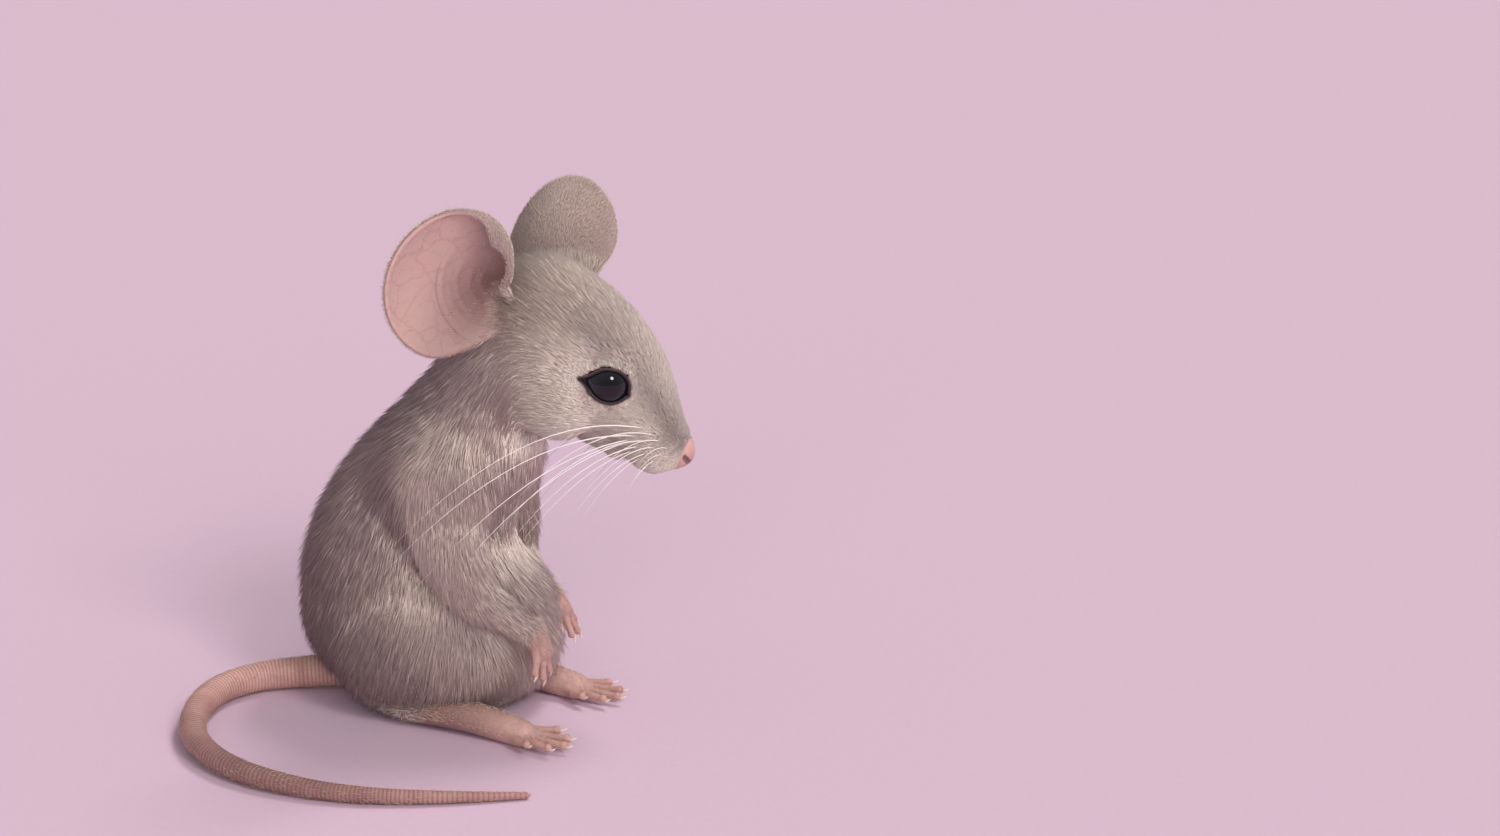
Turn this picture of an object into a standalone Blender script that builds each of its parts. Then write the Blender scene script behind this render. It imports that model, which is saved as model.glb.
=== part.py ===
"""Grey mouse sitting upright: a still, life-size animal, in metres with +Z up.

X runs forward, Y to the mouse's left. The origin is on the floor, under the middle of its seat.
Every solid reaches out to the tips of the coat. Each part of the body is one object.
"""

import math

import bmesh
import bpy
import numpy as np
from mathutils import Matrix, Vector

MM = 0.001
GAP = 0.3  # between neighbours, in mm

# Head: its own axes start at the back of the skull and run forward, left and up.
HEAD_ORIGIN = (12.0, 0.0, 55.8)
HEAD_PITCH = 40.0  # degrees, nose down
HEAD_TURN = 4.0  # degrees, to the left
NECK_CUT = ((17.0, 0.0, 40.0), (0.72, 0.0, 0.69))  # point and normal of the cut under the head
SHOULDER_CUT = ((9.0, 0.0, 40.0), (0.5, 0.0, 0.87))

# Masses that melt into one form along a line: centre and radii at each station
SPINE = (
    (0.3, 0.0, 12.2, 16.0, 14.3, 12.8),  # rump
    (-0.3, 0.0, 20.5, 14.2, 13.5, 12.0),  # loin
    (2.8, 0.0, 29.0, 12.1, 12.2, 10.5),  # waist
    (8.0, 0.0, 36.5, 10.2, 11.2, 9.5),  # ribs
    (11.9, 0.0, 42.5, 8.9, 10.2, 8.5),  # shoulders
    (15.3, 0.0, 48.0, 8.6, 9.3, 8.5),  # neck
)
BELLY = ((6.2, 0.0, 9.2, 13.4, 12.4, 9.6), (5.2, 0.0, 14.5, 12.2, 12.2, 9.0))
SKULL = (  # on the head's own axes, as are the next three
    (8.5, 0.0, 1.4, 9.8, 9.2, 9.0),  # cranium
    (13.5, 0.0, 2.1, 8.6, 8.5, 8.4),
    (18.4, 0.0, 1.9, 7.2, 7.4, 7.4),  # brow
    (23.2, 0.0, 1.0, 5.8, 5.9, 5.6),  # bridge
    (27.6, 0.0, -0.1, 4.2, 4.1, 3.8),  # muzzle
    (31.2, 0.0, 0.2, 2.1, 2.2, 2.0),  # nose
)
JAW = ((12.0, 0.0, -6.0, 4.6, 4.6, 4.6), (25.2, 0.0, -4.6, 1.9, 1.9, 1.9))
CHEEK = (13.5, 4.3, -4.2, 7.8, 5.0, 5.8)
WHISKER_PAD = (27.6, 1.9, -1.7, 3.9, 2.6, 2.9)

EYE_PLACE = (19.0, 5.7, 2.8)  # on the head, for the left one
EYE_RADIUS = 2.75

# Limbs: stations of place and radius. The two sides differ, as in a mouse at ease.
FORELEG = {
    "right": ((7.8, -8, 33, 6.0), (9.6, -10.6, 25.5, 5.2), (12.4, -11.2, 19.6, 3.8),
              (16.4, -9.8, 15.6, 2.3), (19.4, -8.2, 13.0, 1.6)),
    "left": ((7.8, 8, 33, 6.0), (8.6, 9.8, 25.5, 5.0), (9.6, 9.9, 19.8, 3.6),
             (12.8, 8.6, 15.8, 2.3), (15.6, 7.0, 13.2, 1.6)),
}
PALM = {
    "right": ((19.4, -8.2, 13.0, 1.5), (20.2, -7.8, 11.4, 1.5), (20.6, -7.5, 9.9, 1.45)),
    "left": ((15.6, 7.0, 13.2, 1.5), (16.9, 6.8, 11.9, 1.5), (18.0, 6.6, 10.6, 1.45)),
}
HAUNCH = (4.5, 9.4, 10.0)  # middle of the left thigh
HAUNCH_RADII = (12.2, 6.4, 9.6)
INSTEP = {
    "right": ((4.5, -11.6, 2.2, 1.8), (12.0, -12.7, 2.3, 1.9), (18.0, -13.8, 1.8, 1.9),
              (21.8, -14.6, 1.4, 1.7)),
    "left": ((4.5, 7.2, 2.2, 1.8), (12.0, 6.0, 2.3, 1.9), (18.0, 4.8, 1.8, 1.9),
             (21.9, 4.0, 1.4, 1.7)),
}
FINGER_LENGTHS = (2.6, 3.2, 3.2, 2.6)
TOE_LENGTHS = (3.2, 4.6, 5.0, 4.7, 3.4)
DIGIT_RADIUS = 0.62
CLAW_LENGTH = 1.0

# Ears: base on the head for the left one, then the way the blade and its mouth point
EAR_BASE = {"right": (3.6, -7.4, 2.2), "left": (6.4, 7.2, 0.8)}
EAR_AXIS = {"right": (-0.60, -0.65, 0.47), "left": (-0.14, 0.50, 0.85)}
EAR_MOUTH = {"right": (0.5, -0.8, 0.0), "left": (0.35, 0.92, 0.0)}
EAR_LENGTH = 17.2
EAR_WIDTH = 19.0
EAR_THICK = 0.7
EAR_RINGS = 5
EAR_SPOKES = 18

# Tail: the middle line on the floor with the radius, from the rump to the tip
TAIL = (
    (-8.0, -0.5, 2.5), (-14.3, -3.0, 2.25), (-20.0, -6.4, 2.05), (-23.1, -12.4, 1.95),
    (-22.4, -20.2, 1.85), (-18.8, -28.0, 1.75), (-13.0, -34.0, 1.6), (-6.0, -37.6, 1.45),
    (1.5, -39.0, 1.25), (8.0, -38.8, 1.1), (14.0, -37.4, 0.95), (20.7, -34.8, 0.75),
    (27.8, -31.2, 0.45),
)
TAIL_PARTS = ("root", "base", "middle", "end", "tip")
TAIL_RINGS = 8  # along each of those
TAIL_SIDES = 10

VOXEL = 0.6  # of the large masses
FINE_VOXEL = 0.28  # of hands and feet
CORE_TRIANGLES = 2700
LEG_TRIANGLES = 280
PAW_TRIANGLES = 400
FOOT_TRIANGLES = 430
CARVED_SHARE = 0.6  # of the trunk's triangles that stay once it is carved


# ---------------------------------------------------------------- placing

def direction(vector):
    return Vector(vector).normalized()


def head_axes():
    """Columns forward, left and up of the head."""
    turn = Matrix.Rotation(math.radians(HEAD_TURN), 3, "Z")
    return turn @ Matrix.Rotation(math.radians(HEAD_PITCH), 3, "Y")


def on_head(place):
    return Vector(HEAD_ORIGIN) + head_axes() @ Vector(place)


def smooth_line(stations, steps):
    """Catmull-Rom through the stations: places in the first three columns, radii in the rest."""
    rows = np.asarray(stations, float)
    rows = np.vstack([2 * rows[0] - rows[1], rows, 2 * rows[-1] - rows[-2]])
    along = np.linspace(0, len(rows) - 3 - 1e-9, steps)
    first = along.astype(int)
    t = (along - first)[:, None]
    a, b, c, d = rows[first], rows[first + 1], rows[first + 2], rows[first + 3]
    bend = (2 * a - 5 * b + 4 * c - d) * t**2 + (3 * b - a - 3 * c + d) * t**3
    return 0.5 * (2 * b + (c - a) * t + bend)


# ---------------------------------------------------------------- materials

def material(name, colour, roughness):
    made = bpy.data.materials.new(name)
    made.use_nodes = True
    shader = made.node_tree.nodes["Principled BSDF"]
    shader.inputs["Base Color"].default_value = (*colour, 1.0)
    shader.inputs["Roughness"].default_value = roughness
    shader.inputs["Metallic"].default_value = 0.0
    return made


def materials():
    return {
        "coat": material("grey coat", (0.30, 0.25, 0.23), 0.85),
        "skin": material("bare pink skin", (0.58, 0.35, 0.31), 0.5),
        "eye": material("dark eye", (0.006, 0.006, 0.010), 0.08),
    }


# ---------------------------------------------------------------- solids

def add_mass(mesh, centre, radii, axes=None):
    """An ellipsoid, its radii along the axes."""
    frame = (axes or Matrix.Identity(3)).to_4x4()
    place = Matrix.Translation(Vector(centre) * MM) @ frame @ Matrix.Diagonal(Vector(radii) * MM).to_4x4()
    bmesh.ops.create_icosphere(mesh, subdivisions=3, radius=1.0, matrix=place)


def add_sweep(mesh, stations, steps, axes=None, origin=(0, 0, 0)):
    """Ellipsoids close together along a line, which remeshing melts into one form."""
    frame = axes or Matrix.Identity(3)
    for row in smooth_line(stations, steps):
        centre = Vector(origin) + frame @ Vector(row[:3])
        add_mass(mesh, centre, row[3:6], frame)


def add_limb(mesh, stations, steps=16):
    """A row of overlapping balls, which remeshing melts into one limb."""
    for x, y, z, radius in smooth_line(stations, steps):
        place = Matrix.Translation(Vector((x, y, z)) * MM)
        bmesh.ops.create_icosphere(mesh, subdivisions=2, radius=radius * MM, matrix=place)


def place_object(name, mesh, finish):
    data = bpy.data.meshes.new(name)
    mesh.to_mesh(data)
    mesh.free()
    made = bpy.data.objects.new(name, data)
    bpy.context.scene.collection.objects.link(made)
    made.data.materials.append(finish)
    return made


def settle(made):
    """Replaces the object's mesh by what its modifiers make of it."""
    graph = bpy.context.evaluated_depsgraph_get()
    data = bpy.data.meshes.new_from_object(made.evaluated_get(graph))
    made.modifiers.clear()
    made.data = data
    data.name = made.name


def thin_out(made, share):
    """Leaves that share of the triangles, fewest where the form is flat."""
    thin = made.modifiers.new("Thin", "DECIMATE")
    thin.ratio = share
    thin.use_collapse_triangulate = True
    settle(made)


def melt(made, voxel, smoothing, triangles):
    """Joins the overlapping masses into one closed skin of about that many triangles."""
    remesh = made.modifiers.new("Join", "REMESH")
    remesh.mode = "VOXEL"
    remesh.voxel_size = voxel * MM
    soften = made.modifiers.new("Soften", "SMOOTH")
    soften.factor = 0.5
    soften.iterations = smoothing
    settle(made)
    thin_out(made, triangles / (2 * len(made.data.polygons)))


def carve(made, neighbour):
    """Takes the neighbour, grown by the gap, out of the object."""
    cutter = neighbour.copy()
    cutter.data = neighbour.data.copy()
    bpy.context.scene.collection.objects.link(cutter)
    grow = cutter.modifiers.new("Grow", "DISPLACE")
    grow.strength = GAP * MM
    grow.mid_level = 0.0
    settle(cutter)
    cut = made.modifiers.new("Carve", "BOOLEAN")
    cut.operation = "DIFFERENCE"
    cut.solver = "EXACT"
    cut.use_self = True
    cut.object = cutter
    settle(made)
    bpy.data.objects.remove(cutter)


def keep_above(made, point, normal, offset=0.0):
    """Cuts the object flat, and keeps the side the normal points to."""
    mesh = bmesh.new()
    mesh.from_mesh(made.data)
    start = Vector(point) * MM + direction(normal) * offset * MM
    whole = mesh.verts[:] + mesh.edges[:] + mesh.faces[:]
    cut = bmesh.ops.bisect_plane(
        mesh, geom=whole, dist=1e-7, plane_co=start, plane_no=direction(normal), clear_inner=True
    )
    rim = [item for item in cut["geom_cut"] if isinstance(item, bmesh.types.BMEdge)]
    bmesh.ops.contextual_create(mesh, geom=rim)
    bmesh.ops.triangulate(mesh, faces=mesh.faces[:])
    mesh.to_mesh(made.data)
    mesh.free()


def drop_crumbs(made):
    """Keeps only the largest piece of the object's mesh."""
    mesh = bmesh.new()
    mesh.from_mesh(made.data)
    left = set(mesh.verts)
    pieces = []
    while left:
        piece = {left.pop()}
        edge = set(piece)
        while edge:
            edge = {e.other_vert(v) for v in edge for e in v.link_edges} & left
            left -= edge
            piece |= edge
        pieces.append(piece)
    largest = max(pieces, key=len)
    bmesh.ops.delete(mesh, geom=[v for v in mesh.verts if v not in largest], context="VERTS")
    mesh.to_mesh(made.data)
    mesh.free()


# ---------------------------------------------------------------- parts

def core(name, finish):
    """Head, neck and trunk in one piece."""
    mesh = bmesh.new()
    add_sweep(mesh, SPINE, 22)
    add_sweep(mesh, BELLY, 4)
    on_skull = (head_axes(), HEAD_ORIGIN)
    add_sweep(mesh, SKULL, 26, *on_skull)
    add_sweep(mesh, JAW, 12, *on_skull)
    for forward, left, up, *radii in (CHEEK, WHISKER_PAD):
        for side in (-1, 1):
            add_mass(mesh, on_head((forward, left * side, up)), radii, head_axes())
    made = place_object(name, mesh, finish)
    melt(made, VOXEL, 16, CORE_TRIANGLES)
    return made


def copy_of(made, name):
    other = made.copy()
    other.data = made.data.copy()
    other.name = name
    bpy.context.scene.collection.objects.link(other)
    return other


def eye(side, finish):
    mesh = bmesh.new()
    forward, left, up = EYE_PLACE
    place = on_head((forward, left if side == "left" else -left, up))
    add_mass(mesh, place, (EYE_RADIUS,) * 3)
    made = place_object(f"eye_{side}", mesh, finish)
    made.data.shade_smooth()
    return made


def foreleg(side, finish):
    mesh = bmesh.new()
    add_limb(mesh, FORELEG[side], 24)
    made = place_object(f"foreleg_{side}", mesh, finish)
    melt(made, VOXEL, 6, LEG_TRIANGLES)
    return made


def hindleg(side, finish):
    """The thigh, drawn up beside the belly. The shank is folded inside the coat."""
    mesh = bmesh.new()
    forward, left, up = HAUNCH
    centre = (forward, left if side == "left" else -left, up)
    add_mass(mesh, centre, HAUNCH_RADII, Matrix.Rotation(math.radians(-12.0), 3, "Y"))
    made = place_object(f"hindleg_{side}", mesh, finish)
    melt(made, VOXEL, 2, LEG_TRIANGLES)
    return made


def add_digits(mesh, stations, lengths, spread, width, droop):
    """Digits fanned out from the end of a palm or instep, each with its claw."""
    rows = smooth_line(stations, 12)
    end = Vector(rows[-1, :3])
    ahead = direction(rows[-1, :3] - rows[-3, :3])
    across = direction(ahead.cross(Vector(width)))
    lift = across.cross(ahead)
    middle = (len(lengths) - 1) / 2
    for number, length in enumerate(lengths):
        part = (number - middle) / middle
        way = direction(ahead + across * part * spread)
        root = end + across * part * rows[-1, 3] * 0.8 - ahead * abs(part) * 0.9
        knuckle = root + way * length * 0.5 - lift * droop * 0.25
        pad = root + way * length - lift * droop
        claw = pad + way * CLAW_LENGTH - lift * (droop * 0.3 + 0.25)
        line = [(*root, DIGIT_RADIUS), (*knuckle, DIGIT_RADIUS), (*pad, DIGIT_RADIUS * 0.95)]
        add_limb(mesh, line, 14)
        add_limb(mesh, [(*pad, DIGIT_RADIUS * 0.6), (*claw, 0.34)], 6)


def forepaw(side, finish):
    mesh = bmesh.new()
    add_limb(mesh, PALM[side], 10)
    add_digits(mesh, PALM[side], FINGER_LENGTHS, spread=0.45, width=(1, 0, 0), droop=0.4)
    made = place_object(f"forepaw_{side}", mesh, finish)
    melt(made, FINE_VOXEL, 3, PAW_TRIANGLES)
    return made


def hindfoot(side, finish):
    mesh = bmesh.new()
    add_limb(mesh, INSTEP[side], 24)
    add_digits(mesh, INSTEP[side], TOE_LENGTHS, spread=0.42, width=(0, 0, -1), droop=0.45)
    made = place_object(f"hindfoot_{side}", mesh, finish)
    melt(made, FINE_VOXEL, 3, FOOT_TRIANGLES)
    return made


def ear_depth(along, across):
    """How far the cupped blade stands out, from its place along and across the ear."""
    half = EAR_WIDTH / 2
    reach = math.hypot((along - 7.8) / 9.5, across / half)
    dish = -2.2 + 2.6 * min(reach, 1.3) ** 2
    front_roll = 0.10 * max(across - 4.2, 0.0) ** 2 * min(max(1.25 - along / 16, 0.0), 1.0)
    hollow = 1.6 * math.exp(-((along - 1.5) ** 2 + (across - 1.0) ** 2) / 9.0)
    return dish + front_roll - hollow


def ear(side, finish):
    """A thin cupped blade, round at the top and narrower at its root."""
    base = on_head(EAR_BASE[side])
    axis = direction(EAR_AXIS[side])
    mouth = Vector(EAR_MOUTH[side])
    mouth = direction(mouth - axis * mouth.dot(axis))
    front = axis.cross(mouth) * (1 if side == "right" else -1)
    mesh = bmesh.new()

    def sheet(offset):
        """Rings of vertices from the middle of the blade out to its edge."""
        rings = []
        for ring in range(EAR_RINGS + 1):
            reach = ring / EAR_RINGS
            row = []
            for spoke in range(EAR_SPOKES if ring else 1):
                turn = 2 * math.pi * spoke / EAR_SPOKES
                along = EAR_LENGTH * 0.46 + EAR_LENGTH * 0.54 * reach * math.cos(turn)
                waist = 1 - 0.30 * max(0.0, 1 - along / (EAR_LENGTH * 0.46)) ** 2
                across = EAR_WIDTH / 2 * reach * waist * math.sin(turn)
                depth = ear_depth(along, across) + offset * (1 - 0.3 * reach**4)
                place = base + axis * along + front * across + mouth * depth
                row.append(mesh.verts.new(place * MM))
            rings.append(row)
        return rings

    inner, outer = sheet(EAR_THICK / 2), sheet(-EAR_THICK / 2)
    for rings, flip in ((inner, False), (outer, True)):
        for ring in range(EAR_RINGS):
            for spoke in range(EAR_SPOKES):
                following = (spoke + 1) % EAR_SPOKES
                face = [rings[ring + 1][spoke], rings[ring + 1][following]]
                face += [rings[ring][following], rings[ring][spoke]] if ring else rings[0]
                mesh.faces.new(reversed(face) if flip else face)
    for spoke in range(EAR_SPOKES):
        following = (spoke + 1) % EAR_SPOKES
        edge = [outer[-1][spoke], outer[-1][following], inner[-1][following], inner[-1][spoke]]
        mesh.faces.new(edge)
    bmesh.ops.recalc_face_normals(mesh, faces=mesh.faces[:])
    bmesh.ops.triangulate(mesh, faces=mesh.faces[:])
    return place_object(f"ear_{side}", mesh, finish)


def tail_part(number, finish):
    """One length of the tail, lying on a narrow flat along its whole underside."""
    mesh = bmesh.new()
    steps = 400
    line = smooth_line(TAIL, steps)
    run = np.concatenate([[0], np.cumsum(np.linalg.norm(np.diff(line[:, :2], axis=0), axis=1))])
    share = run[-1] / len(TAIL_PARTS)
    first = share * number + (GAP / 2 if number else 0)
    last = share * (number + 1) - (GAP / 2 if number < len(TAIL_PARTS) - 1 else 0)
    rings = []
    for where in np.linspace(first, last, TAIL_RINGS):
        x, y, radius = (np.interp(where, run, line[:, column]) for column in range(3))
        ahead = [np.interp(where + 0.1, run, line[:, c]) - np.interp(where - 0.1, run, line[:, c]) for c in (0, 1)]
        side = Vector((-ahead[1], ahead[0], 0)).normalized()
        centre = Vector((x, y, radius * math.cos(math.pi / TAIL_SIDES)))
        row = []
        for corner in range(TAIL_SIDES):
            turn = 2 * math.pi * (corner + 0.5) / TAIL_SIDES
            place = centre + side * radius * math.sin(turn)
            place.z -= radius * math.cos(turn)
            row.append(mesh.verts.new(place * MM))
        rings.append(row)
    for one, other in zip(rings, rings[1:]):
        for corner in range(TAIL_SIDES):
            following = (corner + 1) % TAIL_SIDES
            mesh.faces.new((one[corner], one[following], other[following], other[corner]))
    mesh.faces.new(rings[0])
    mesh.faces.new(rings[-1])
    bmesh.ops.recalc_face_normals(mesh, faces=mesh.faces[:])
    bmesh.ops.triangulate(mesh, faces=mesh.faces[:])
    return place_object(f"tail_{TAIL_PARTS[number]}", mesh, finish)


# ---------------------------------------------------------------- the mouse

def main():
    for old in list(bpy.data.objects):
        bpy.data.objects.remove(old)
    finish = materials()
    sides = ("right", "left")
    floor = ((0, 0, 0), (0, 0, 1))

    trunk = core("trunk", finish["coat"])
    forelegs = [foreleg(side, finish["coat"]) for side in sides]
    hindlegs = [hindleg(side, finish["coat"]) for side in sides]
    forepaws = [forepaw(side, finish["skin"]) for side in sides]
    hindfeet = [hindfoot(side, finish["skin"]) for side in sides]
    ears = [ear(side, finish["skin"]) for side in sides]
    eyes = [eye(side, finish["eye"]) for side in sides]
    tail = [tail_part(number, finish["skin"]) for number in range(len(TAIL_PARTS))]

    for piece in eyes + forelegs + hindlegs + forepaws + hindfeet:
        carve(trunk, piece)
    for piece in ears:
        carve(piece, trunk)
    for thigh, foot, arm, paw in zip(hindlegs, hindfeet, forelegs, forepaws):
        for piece in (foot, arm, paw):
            carve(thigh, piece)
        carve(paw, arm)
        keep_above(foot, *floor)

    head = copy_of(trunk, "head")
    neck = copy_of(trunk, "neck")
    keep_above(head, *NECK_CUT, offset=GAP / 2)
    back = tuple(-part for part in NECK_CUT[1])
    keep_above(neck, NECK_CUT[0], back, offset=GAP / 2)
    keep_above(neck, *SHOULDER_CUT, offset=GAP / 2)
    down = tuple(-part for part in SHOULDER_CUT[1])
    keep_above(trunk, SHOULDER_CUT[0], down, offset=GAP / 2)
    thin_out(trunk, CARVED_SHARE)
    keep_above(trunk, *floor)
    carve(tail[0], trunk)
    for piece in [head, neck, trunk, tail[0]] + ears + forelegs + hindlegs + forepaws + hindfeet:
        drop_crumbs(piece)


main()
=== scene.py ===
"""A grey mouse sitting upright, life-size: one skin with its folds and lids, the coat over it in
small tufts that follow its lie, eyes, claws and whiskers, on a plain studio floor."""

import math
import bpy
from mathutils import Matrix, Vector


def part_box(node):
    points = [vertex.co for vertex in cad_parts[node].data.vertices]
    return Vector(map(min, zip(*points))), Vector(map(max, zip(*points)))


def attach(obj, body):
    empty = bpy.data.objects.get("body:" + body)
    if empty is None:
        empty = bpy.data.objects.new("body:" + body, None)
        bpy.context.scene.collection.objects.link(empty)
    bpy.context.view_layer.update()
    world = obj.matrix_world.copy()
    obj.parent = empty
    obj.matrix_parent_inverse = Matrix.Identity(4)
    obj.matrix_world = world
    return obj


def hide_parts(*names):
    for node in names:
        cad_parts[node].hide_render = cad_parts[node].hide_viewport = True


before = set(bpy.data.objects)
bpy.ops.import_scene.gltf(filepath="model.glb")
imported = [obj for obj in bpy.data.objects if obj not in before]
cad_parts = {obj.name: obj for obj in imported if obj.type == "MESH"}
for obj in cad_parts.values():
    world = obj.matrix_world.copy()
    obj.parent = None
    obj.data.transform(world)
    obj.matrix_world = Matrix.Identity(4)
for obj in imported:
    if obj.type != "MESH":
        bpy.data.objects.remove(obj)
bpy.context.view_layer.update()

from types import SimpleNamespace

import bmesh
import bpy
import numpy as np
from mathutils import Vector

MM = 0.001  # every table below is in millimetres

# ---------------------------------------------------------------- measures

HEAD_ORIGIN = np.array((12.0, 0.0, 55.8))  # where the head turns, inside the back of the skull
HEAD_PITCH = 40.0  # degrees, nose down
HEAD_TURN = 4.0  # degrees, to the left

# Masses that melt into one form along a line: centre and radii at each station
SPINE = (
    (0.3, 0.0, 12.2, 16.0, 14.3, 12.8),  # rump
    (-0.3, 0.0, 20.5, 14.2, 13.5, 12.0),  # loin
    (2.8, 0.0, 29.0, 12.1, 12.2, 10.5),  # waist
    (8.0, 0.0, 36.5, 10.2, 11.2, 9.5),  # ribs
    (11.9, 0.0, 42.5, 8.9, 10.2, 8.5),  # shoulders
    (15.3, 0.0, 48.0, 8.6, 9.3, 8.5),  # neck
)
BELLY = ((6.2, 0.0, 9.2, 13.4, 12.4, 9.6), (5.2, 0.0, 14.5, 12.2, 12.2, 9.0))
SKULL = (  # on the head's own axes, as are all the places of the face
    (8.5, 0.0, 1.4, 9.8, 9.2, 9.0),  # cranium
    (13.5, 0.0, 2.1, 8.6, 8.5, 8.4),
    (18.4, 0.0, 1.9, 7.2, 7.4, 7.4),  # brow
    (23.2, 0.0, 1.0, 5.8, 5.9, 5.6),  # bridge
    (27.6, 0.0, -0.1, 4.2, 4.1, 3.8),  # muzzle
    (31.2, 0.0, 0.2, 2.1, 2.2, 2.0),  # nose
)
JAW = ((12.0, 0.0, -6.0, 4.6), (25.2, 0.0, -4.6, 1.9))
CHEEK = ((13.5, 4.3, -4.2), (7.8, 5.0, 5.8))
WHISKER_PAD = ((27.6, 1.9, -1.7), (3.9, 2.6, 2.9))

EYE_PLACE = (19.0, 5.7, 2.8)  # for the left one, as are the next
EYE_RADIUS = 2.75
EYE_GAZE = (0.34, 0.90, 0.24)
EYE_TILT = 24.0  # degrees, of the line through the corners, up from the head's own forward
EYE_OPENING = (2.62, 2.25, 2.05)  # half length, half height above and below
LID_THICK = 0.32
LID_EDGE = 0.2  # radius of the edge of the lids
LID_STEPS = 108
LID_SIDES = 8

SIDES = {"right": -1, "left": 1}
FORELEG = {
    "right": ((7.8, -8, 33, 6.0), (9.6, -10.6, 25.5, 5.2), (12.4, -11.2, 19.6, 3.8),
              (16.4, -9.8, 15.6, 2.3), (19.4, -8.2, 13.0, 1.6)),
    "left": ((7.8, 8, 33, 6.0), (8.6, 9.8, 25.5, 5.0), (9.6, 9.9, 19.8, 3.6),
             (12.8, 8.6, 15.8, 2.3), (15.6, 7.0, 13.2, 1.6)),
}
PALM = {
    "right": ((19.4, -8.2, 13, 1.5), (20.1, -7.9, 11.7, 1.5), (20.4, -7.6, 10.5, 1.45)),
    "left": ((15.6, 7.0, 13.2, 1.5), (16.7, 6.8, 12.1, 1.5), (17.6, 6.7, 11.1, 1.45)),
}
HAUNCH = ((4.5, 9.4, 10.0), (12.2, 6.4, 9.6))
INSTEP = {
    "right": ((4.5, -11.6, 2.2, 1.8), (12.0, -12.7, 2.3, 1.9), (17.2, -13.6, 1.9, 1.9),
              (20.4, -14.3, 1.5, 1.75)),
    "left": ((4.5, 7.2, 2.2, 1.8), (12.0, 6.0, 2.3, 1.9), (17.2, 4.9, 1.9, 1.9),
             (20.5, 4.3, 1.5, 1.75)),
}
# Lengths of the digits, how far they spread and droop, and the way their row runs across
FINGERS = ((3.0, 3.8, 3.8, 3.0), 0.5, 0.4, (1.0, 0.0, 0.0))
TOES = ((4.0, 5.9, 6.3, 6.0, 4.3), 0.46, 0.45, (0.0, 0.0, -1.0))
DIGIT_RADIUS = 0.55
CLAW_LENGTH = 1.3

# Ears: base on the head, then the way the blade and its mouth point
EAR_BASE = {"right": (3.6, -7.4, 2.2), "left": (6.4, 7.2, 0.8)}
EAR_AXIS = {"right": (-0.60, -0.65, 0.47), "left": (-0.14, 0.50, 0.85)}
EAR_MOUTH = {"right": (0.5, -0.8, 0.0), "left": (0.35, 0.92, 0.0)}
EAR_LENGTH = 17.2
EAR_WIDTH = 19.0
EAR_THICK = 0.62
EAR_NOTCH = (2.0, 2.4)  # along and across, where the folds of the shell meet
EAR_FOLDS = (2.5, 4.0, 5.8, 7.9)  # how far each fold lies from the notch
EAR_CURL = {"right": 1.0, "left": 0.25}  # share of the full curl that the front edge takes
EAR_FLAP = 0.34  # how much wider the blade is where its edge curls in
EAR_TURNED = 0.36  # the part of its reach that curls
EAR_ROLL = 1.3  # radius of the curl
EAR_RINGS = 32
EAR_SPOKES = 100

# Tail: the middle line on the floor with the radius, from the rump to the tip
TAIL = (
    (-8.0, -0.5, 2.5), (-14.3, -3.0, 2.25), (-20.0, -6.4, 2.05), (-23.1, -12.4, 1.95),
    (-22.4, -20.2, 1.85), (-18.8, -28.0, 1.75), (-13.0, -34.0, 1.6), (-6.0, -37.6, 1.45),
    (1.5, -39.0, 1.25), (8.0, -38.8, 1.1), (14.0, -37.4, 0.95), (20.7, -34.8, 0.75),
    (27.8, -31.2, 0.45),
)
TAIL_RINGS = 150
TAIL_SIDES = 20
FLOOR_GAP = 0.06  # hair and skin keep this clear of the floor

COARSE = 1.05  # the skin's mesh under the long fur of the trunk
FINE = 0.62  # and on the head
PAW_STEP = 0.24
BLOCK = 4  # cells along a block, when the grid is first looked over coarsely
LOT = 150000  # points worked out at a time

# Regions of the skin, numbered in this order
REGIONS = ("body", "hand_right", "hand_left", "foot_right", "foot_left", "tail", "ear_right", "ear_left")
# Zones of the coat. The first four have a right half, and a left half one number on
RUMP, BELLY_FUR, HEAD, BACK = 0, 2, 4, 11
MUZZLE, EARS, PAWS, TAIL_DOWN = 6, 8, 9, 10
FORELEG_FUR = {"right": 7, "left": 13}
FUR_LIFT = 0.36  # how far the hair stands off the skin
EAR_LIFT = 0.22
PATCH = 0.003  # width of one tuft's own patch on the unwrap


# ---------------------------------------------------------------- forms and distances

def unit(vector):
    vector = np.asarray(vector, float)
    return vector / np.maximum(np.linalg.norm(vector, axis=-1, keepdims=True), 1e-9)


def ease(value, low, high):
    """0 below low, 1 above high, smooth between."""
    t = np.clip((value - low) / (high - low), 0, 1)
    return t * t * (3 - 2 * t)


def head_axes():
    """Rows forward, left and up of the head."""
    pitch, turn = math.radians(HEAD_PITCH), math.radians(HEAD_TURN)
    forward = (math.cos(pitch) * math.cos(turn), math.cos(pitch) * math.sin(turn), -math.sin(pitch))
    left = (-math.sin(turn), math.cos(turn), 0.0)
    return np.array((forward, left, np.cross(forward, left)))


HEAD_AXES = head_axes()


def to_head(points):
    return (points - HEAD_ORIGIN) @ HEAD_AXES.T


def on_head(place):
    return HEAD_ORIGIN + np.asarray(place, float) @ HEAD_AXES


def mirrored(place, side):
    return np.asarray(place, float) * (1, side, 1)


def folded(q):
    """Places on the head, with those of its right half brought over to the left."""
    return np.abs(q) * (0, 1, 0) + q * (1, 0, 1)


def smooth_union(a, b, melt):
    share = np.clip(0.5 + 0.5 * (b - a) / melt, 0, 1)
    return b * (1 - share) + a * share - melt * share * (1 - share)


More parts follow.
